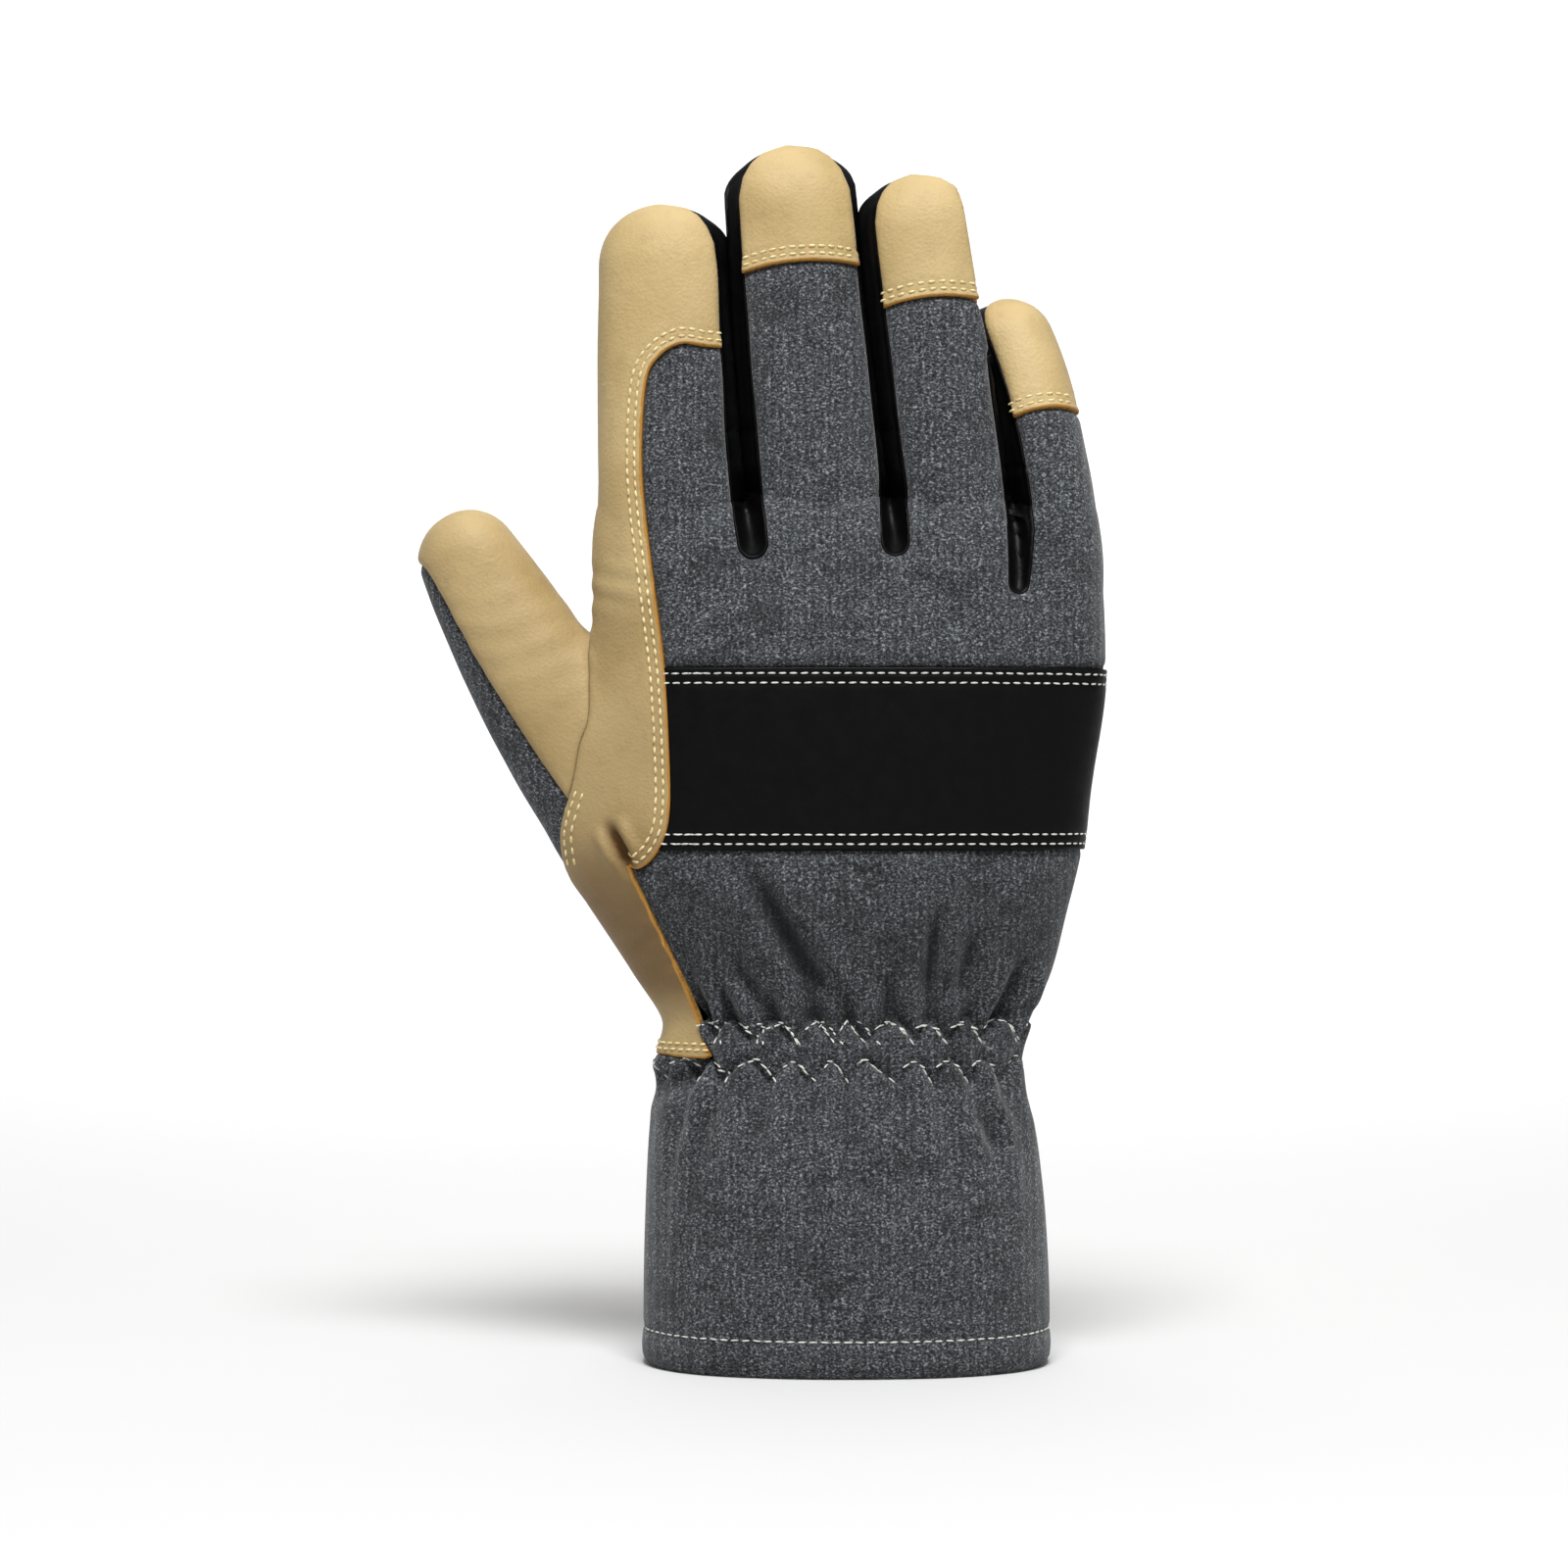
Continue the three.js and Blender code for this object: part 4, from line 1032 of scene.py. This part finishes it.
# Each piece: its slot in the record, its finish, height over the skin, wall in mm and the solids it
# stands for. cut is the distance to a seam where the raw edge of the leather shows
# tone gives a panel its painted shade, stored as the tone attribute
tan = dict(slot="tan_leather", look="tan", relief=tanLeather, tone=leatherPaintedShade, wall=1.4)
black = dict(slot="black_leather", look="black", wall=1.3)
jersey = dict(slot="heather_cloth", look="cloth", tone=clothPaintedShade, wall=1.6)
pieceTable = {
    "thumb_cloth": dict(jersey, relief=thumbCloth, solids=["thumb_back"]),
    "thumb_leather": dict(tan, solids=["thumb_leather"]),
    "palm_leather": dict(tan, cut=sheetCut, solids=["palm", "index_wrap", "index_front"]),
    "knuckle_strap": dict(black, relief=strapLeather, solids=["knuckle_strap"]),
    "upper_cloth": dict(jersey, relief=upperCloth, solids=["back_upper"]),
    "lower_cloth": dict(jersey, relief=lowerCloth, solids=["cuff", "back_lower"]),
}
for a, b in slotPairs:
    pieceTable[f"fourchette_{a}_{b}"] = dict(black, relief=slotLeather, solids=[f"fourchette_{a}_{b}"])
for k, name in enumerate(fingerNames[1:], 1):
    pieceTable[f"{name}_front"] = dict(tan, solids=[f"{name}_front"])
    pieceTable[f"{name}_cap"] = dict(tan, cut=capSide(k), solids=[f"{name}_cap"])


# Distances from a seam at which a row of faces is added, for its rounding, in mm
seamLoops = {"cloth": (0.6,), "tan": (0.4, 0.9, 2.1), "black": (0.4, 0.9, 2.1)}
noCut = 99.0  # stands for the distance where a panel has no cut edge
lowest = 0.02  # the hem stays just above the ground
rimPull = 0.06  # how far each panel's rim is drawn in, so that neighbours don't touch


def treeOf(points):
    tree = KDTree(len(points))
    for i, point in enumerate(points.tolist()):
        tree.insert(point, i)
    tree.balance()
    return tree


def edgeDistance(table, border):
    a, b = table[border[:, 0], :3], table[border[:, 1], :3]
    tree = treeOf(np.concatenate([mix(a, b, share) for share in (0.0, 0.25, 0.5, 0.75)]))
    return np.array([tree.find(row)[2] for row in table[:, :3].tolist()])


def addValues(mesh, name, values):
    data = mesh.attributes.new(name, "FLOAT", "POINT").data
    data.foreach_set("value", np.concatenate([values, values]).astype(np.float32))


def makePiece(name, panels):
    entry = pieceTable[name]
    table, tris = panels[name]
    onBorder = np.unique(borderOf(tris))
    table = np.column_stack([table, edgeDistance(table, borderOf(tris))])
    for loop in seamLoops[entry["look"]]:
        near = np.where(np.abs(table[:, 7] - loop) < 0.08, 0, table[:, 7] - loop)
        table, tris, _ = splitAt(table, tris, near)
    cut = entry["cut"](table) if "cut" in entry else np.full(len(table), noCut)
    normals = table[:, 3:6] / np.maximum(np.linalg.norm(table[:, 3:6], axis=1), 1e-6)[:, None]
    height = entry["relief"](table, table[:, 7], cut)
    points = table[:, :3] + normals * height[:, None]
    pull = neighbourMean(points, edgesOf(tris), len(points)) - points
    length = np.maximum(np.linalg.norm(pull, axis=1), 1e-6)[:, None]
    points[onBorder] += (pull / length)[onBorder] * rimPull
    points[:, 2] = np.maximum(points[:, 2], lowest)
    inner = points - normals * entry["wall"]
    inner[:, 2] = np.maximum(inner[:, 2], lowest)
    count, rim = len(points), borderOf(tris)
    rimFaces = np.column_stack([rim[:, 1], rim[:, 0], rim[:, 0] + count, rim[:, 1] + count])
    mesh = bpy.data.meshes.new(f"{name}_panel")
    mesh.from_pydata(((np.concatenate([points, inner]) + origin) * mm).tolist(), [],
                     tris.tolist() + (tris[:, ::-1] + count).tolist() + rimFaces.tolist())
    if entry["look"] == "tan":
        addValues(mesh, "toCut", cut)
    # the tone attribute holds the panel's painted shade
    if "tone" in entry:
        addValues(mesh, "tone", entry["tone"](table, height))
    isRim = np.arange(len(mesh.polygons)) >= 2 * len(tris)
    mesh.polygons.foreach_set("use_smooth", ~isRim)
    for look in looks[entry["look"]]:
        mesh.materials.append(look)
    if "cut" in entry:
        mesh.polygons.foreach_set("material_index", isRim.astype(int))
    mesh.update()
    piece = bpy.data.objects.new(f"{name}_panel", mesh)
    bpy.context.scene.collection.objects.link(piece)
    surfaces[name] = BVHTree.FromPolygons(((points + origin) * mm).tolist(), tris.tolist())
    claim(piece, entry["slot"], entry["solids"])


def claim(piece, slot, solids=()):
    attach(piece, "root")
    if solids:
        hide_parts(*solids)


# Sewn rows. pitch is from one stitch to the next, long and thick are the stitch itself, in mm
stitching = {
    "cream": dict(pitch=2.3, long=1.75, thick=0.62, look=creamThread, slot="tan_leather"),
    "white": dict(pitch=2.5, long=1.9, thick=0.42, look=whiteThread, slot="black_leather"),
    "hem": dict(pitch=2.6, long=2.0, thick=0.42, look=whiteThread, slot="heather_cloth"),
    "elastic": dict(pitch=2.4, long=2.2, thick=0.45, look=whiteThread, slot="heather_cloth"),
}


# One ellipsoid stitch at each step along the path
def stitchTree():
    tree = bpy.data.node_groups.new("stitch row", "GeometryNodeTree")
    face = tree.interface
    face.new_socket("Path", in_out="INPUT", socket_type="NodeSocketGeometry")
    for label in ("Pitch", "Long", "Thick"):
        face.new_socket(label, in_out="INPUT", socket_type="NodeSocketFloat")
    face.new_socket("Thread", in_out="INPUT", socket_type="NodeSocketMaterial")
    face.new_socket("Stitches", in_out="OUTPUT", socket_type="NodeSocketGeometry")
    ends = addNode(tree, "NodeGroupInput")
    curve = addNode(tree, "GeometryNodeMeshToCurve", {"Mesh": (ends, "Path")})
    steps = addNode(tree, "GeometryNodeResampleCurve", {"Curve": (curve, 0), "Length": (ends, "Pitch")},
                    mode="LENGTH")
    tangent = addNode(tree, "GeometryNodeInputTangent")
    jitter = addNode(tree, "FunctionNodeRandomValue", {0: (-0.09, -0.09, -0.09), 1: (0.09, 0.09, 0.09),
                                                       "Seed": 5}, data_type="FLOAT_VECTOR")
    loose = addNode(tree, "ShaderNodeVectorMath", {0: (tangent, 0), 1: (jitter, 0)}, operation="ADD")
    turn = addNode(tree, "FunctionNodeAlignRotationToVector", {"Vector": (loose, 0)}, axis="X")
    ball = addNode(tree, "GeometryNodeMeshUVSphere", {"Segments": 8, "Rings": 6, "Radius": 0.5})
    size = addNode(tree, "ShaderNodeCombineXYZ", {0: (ends, "Long"), 1: (ends, "Thick"),
                                                  2: (ends, "Thick")})
    stitch = addNode(tree, "GeometryNodeTransform", {"Geometry": (ball, 0), "Scale": (size, 0)})
    copies = addNode(tree, "GeometryNodeInstanceOnPoints",
                     {"Points": (steps, 0), "Instance": (stitch, 0), "Rotation": (turn, 0)})
    real = addNode(tree, "GeometryNodeRealizeInstances", {0: (copies, 0)})
    smooth = addNode(tree, "GeometryNodeSetShadeSmooth", {0: (real, 0)})
    thread = addNode(tree, "GeometryNodeSetMaterial",
                     {"Geometry": (smooth, 0), "Material": (ends, "Thread")})
    addNode(tree, "NodeGroupOutput", {0: (thread, 0)})
    return tree


def sewRows(name, kind, paths, tree):
    sizes = stitching[kind]
    points, edges = [], []
    for path in paths:
        edges += [(len(points) + i, len(points) + i + 1) for i in range(len(path) - 1)]
        points += [tuple(p) for p in path]
    mesh = bpy.data.meshes.new(name)
    mesh.from_pydata(points, edges, [])
    piece = bpy.data.objects.new(name, mesh)
    bpy.context.scene.collection.objects.link(piece)
    modifier = piece.modifiers.new("stitches", "NODES")
    modifier.node_group = tree
    inputs = {item.name: item.identifier for item in tree.interface.items_tree if item.in_out == "INPUT"}
    for label, value in (("Pitch", sizes["pitch"] * mm), ("Long", sizes["long"] * mm),
                         ("Thick", sizes["thick"] * mm), ("Thread", sizes["look"])):
        modifier[inputs[label]] = value
    evaluated = piece.evaluated_get(bpy.context.evaluated_depsgraph_get())
    piece.data = bpy.data.meshes.new_from_object(evaluated)
    piece.modifiers.clear()
    piece.data.name = name
    claim(piece, sizes["slot"])


def hitFrom(names, start, direction, lift):  # where a line of sight meets the nearest of some pieces
    start, direction = Vector((start + origin) * mm), Vector(direction)
    hits = [surfaces[n].ray_cast(start, direction) for n in names]
    hits = [h for h in hits if h[0] is not None]
    if not hits:
        return None
    where, normal = min(hits, key=lambda h: h[3])[:2]
    if normal.dot(direction) > 0:
        normal = -normal
    return where + normal * lift * mm


def broken(points, longest=4.0):  # a path as runs, parted where it jumps from one piece to another
    runs, run = [], []
    for p in points:
        if p is None or (run and (p - run[-1]).length > longest * mm):
            if len(run) > 2:
                runs.append(run)
            run = []
        if p is not None:
            run.append(p)
    return runs + ([run] if len(run) > 2 else [])


backEnds = 3  # a hit further towards the palm isn't on the back of the hand


def faceOn(names, line, lift=0.1):  # sewn where a line drawn on the back of the hand lies
    steps = np.array(line, float)
    quarters = np.linspace(0, 1, 5)[:-1, None]
    dense = np.concatenate([mix(a, b, quarters) for a, b in zip(steps, steps[1:])])
    found = [hitFrom(names, np.array((x, -80, z)), (0, 1, 0), lift) for x, z in dense]
    return broken([None if p is None or p.y / mm > backEnds else p for p in found])


def aroundAt(names, height, start, end, lift=0.1, count=420):  # round the hand, angles from the back
    found = []
    for angle in np.radians(np.linspace(start, end, count)):
        out = np.array((math.sin(angle), -math.cos(angle), 0))
        z = height(out * 30) if callable(height) else height
        found.append(None if z is None else hitFrom(names, out * 120 + np.array((0, 0, z)), -out, lift))
    return broken(found)


def zigzagShown(p, row):  # the thread comes up at each peak and down its right side, then sinks in
    phase = gatherPhase(p[0], p[1]) + (0 if row[2] > 0 else math.pi)
    turn = (phase / (2 * math.pi) + 0.16) % 1
    shown = turn < 0.34 or 0.43 < turn < 0.68
    return float(zigzagAt(gatherPhase(p[0], p[1]), row)) if shown else None


def besideLine(line, by):  # a line moved to its left by a distance
    line = np.array(line, float)
    along = np.gradient(line, axis=0)
    along /= np.linalg.norm(along, axis=1)[:, None]
    return line + np.stack([-along[:, 1], along[:, 0]], -1) * by


def capLine(k, inset):
    digit = digits[fingerNames[k]]
    rootX, rootZ = rootOf(digit)
    share = 1 - digit["capLength"] / digit["length"]
    half = digitHalf(digit, share)[0]
    sides = np.linspace(-0.74, 0.8, 25)
    across = digit["bow"] * 4 * share * (1 - share) + sides * half
    up = digit["length"] * share - glove["capArch"] * sides**2 + inset
    x, z = turned(across, up, digit["lean"])
    return np.stack([rootX + x, rootZ + z], -1)


def sewEverything():
    tree = stitchTree()
    for row, inset in enumerate(leather["rows"]):
        start = np.searchsorted(-wrapLine[:, 0], 26)
        wrap = besideLine(wrapLine, -inset)[start : -2 - 6 * row]
        flap = besideLine(thumbLine, inset - 0.5)[31:]
        sewRows(f"wrap_stitches_{row}", "cream",
                faceOn(["palm_leather"], wrap) + faceOn(["palm_leather"], flap), tree)
        caps = [run for k in (1, 2, 3) for run in faceOn([f"{fingerNames[k]}_cap"], capLine(k, inset))]
        sewRows(f"cap_stitches_{row}", "cream", caps, tree)
        sewRows(f"wrist_stitches_{row}", "cream",
                aroundAt(["palm_leather"], wristZ + 0.2 + 0.8 * inset, 20, 340), tree)
        ends = strapRows[row]
        strap = [run for z in (strapFoot + ends, strapTop - ends)
                 for run in aroundAt(["knuckle_strap"], z, -80, 120)]
        sewRows(f"strap_stitches_{row}", "white", strap, tree)
    sewRows("hem_stitches", "hem", aroundAt(["lower_cloth"], hem["stitch"], 0, 360), tree)
    for row, line in enumerate(elastic["rows"]):
        sewRows(f"elastic_stitches_{row}", "elastic",
                aroundAt(["lower_cloth"], lambda p: zigzagShown(p, line), 0, 360, 0.12, 1400), tree)
    print("sewn")


# Builds the glove
skin, skinFaces = makeSkin()
print("skin", len(skin), "points")
panels = cutPanels(skin, skinFaces)
for pieceName in pieceTable:
    makePiece(pieceName, panels)
print("pieces", len(pieceTable))
sewEverything()


# A white sweep: floor and backdrop in one, with soft light from above, the front and the right
studio = {"white": "#D8D8D8", "floorWidth": 5.0, "front": -1.6, "back": 0.7, "bend": 1.8, "wall": 3.0}


def makeSweep():
    half, bend = studio["floorWidth"] / 2, studio["bend"]
    rows = [(studio["front"], 0.0)]
    for i in range(17):
        a = math.pi / 2 * i / 16
        rows.append((studio["back"] + bend * math.sin(a), bend * (1 - math.cos(a))))
    rows.append((studio["back"] + bend, studio["wall"]))
    points = [(x, y, z) for y, z in rows for x in (-half, half)]
    faces = [(2 * i, 2 * i + 1, 2 * i + 3, 2 * i + 2) for i in range(len(rows) - 1)]
    mesh = bpy.data.meshes.new("sweep")
    mesh.from_pydata(points, [], faces)
    mesh.polygons.foreach_set("use_smooth", np.ones(len(faces), bool))
    sweep = bpy.data.objects.new("sweep", mesh)
    bpy.context.scene.collection.objects.link(sweep)
    look, tree, shader = newLook("white paper", 0.9, specular=0.1)
    shader.inputs["Base Color"].default_value = linear(studio["white"])
    mesh.materials.append(look)


def addLight(name, spot, aim, size, power):
    lamp = bpy.data.lights.new(name, "AREA")
    lamp.shape = "RECTANGLE"
    lamp.size, lamp.size_y = size
    lamp.energy = power
    light = bpy.data.objects.new(name, lamp)
    light.location = spot
    light.rotation_euler = (Vector(aim) - Vector(spot)).to_track_quat("-Z", "Y").to_euler()
    bpy.context.scene.collection.objects.link(light)


def addCamera():
    lens = bpy.data.cameras.new("camera")
    lens.lens, lens.sensor_width = 93.0, 36
    camera = bpy.data.objects.new("camera", lens)
    camera.location = (origin[0] * mm - 0.0145, -0.950, 0.1352)
    camera.rotation_euler = (math.pi / 2, 0, 0)
    bpy.context.scene.collection.objects.link(camera)
    bpy.context.scene.camera = camera


makeSweep()
addLight("key", (0.05, -0.7, 1.4), (0, 0, 0.17), (0.6, 0.5), 25)
addLight("fill", (1.1, -0.8, 0.5), (0, 0, 0.15), (0.6, 1.2), 0.8)
addLight("top", (0.0, 0.1, 1.4), (0, 0, 0.1), (1.2, 1.2), 3)
addLight("backdrop", (0, 0.9, 1.5), (0, 2.3, 0.5), (1.6, 0.8), 30)
world = bpy.data.worlds.new("studio")
world.use_nodes = True
world.node_tree.nodes["Background"].inputs["Color"].default_value = linear("#FFFFFF")
world.node_tree.nodes["Background"].inputs["Strength"].default_value = 0.3
bpy.context.scene.world = world
bpy.context.scene.view_settings.view_transform = "Standard"
addCamera()
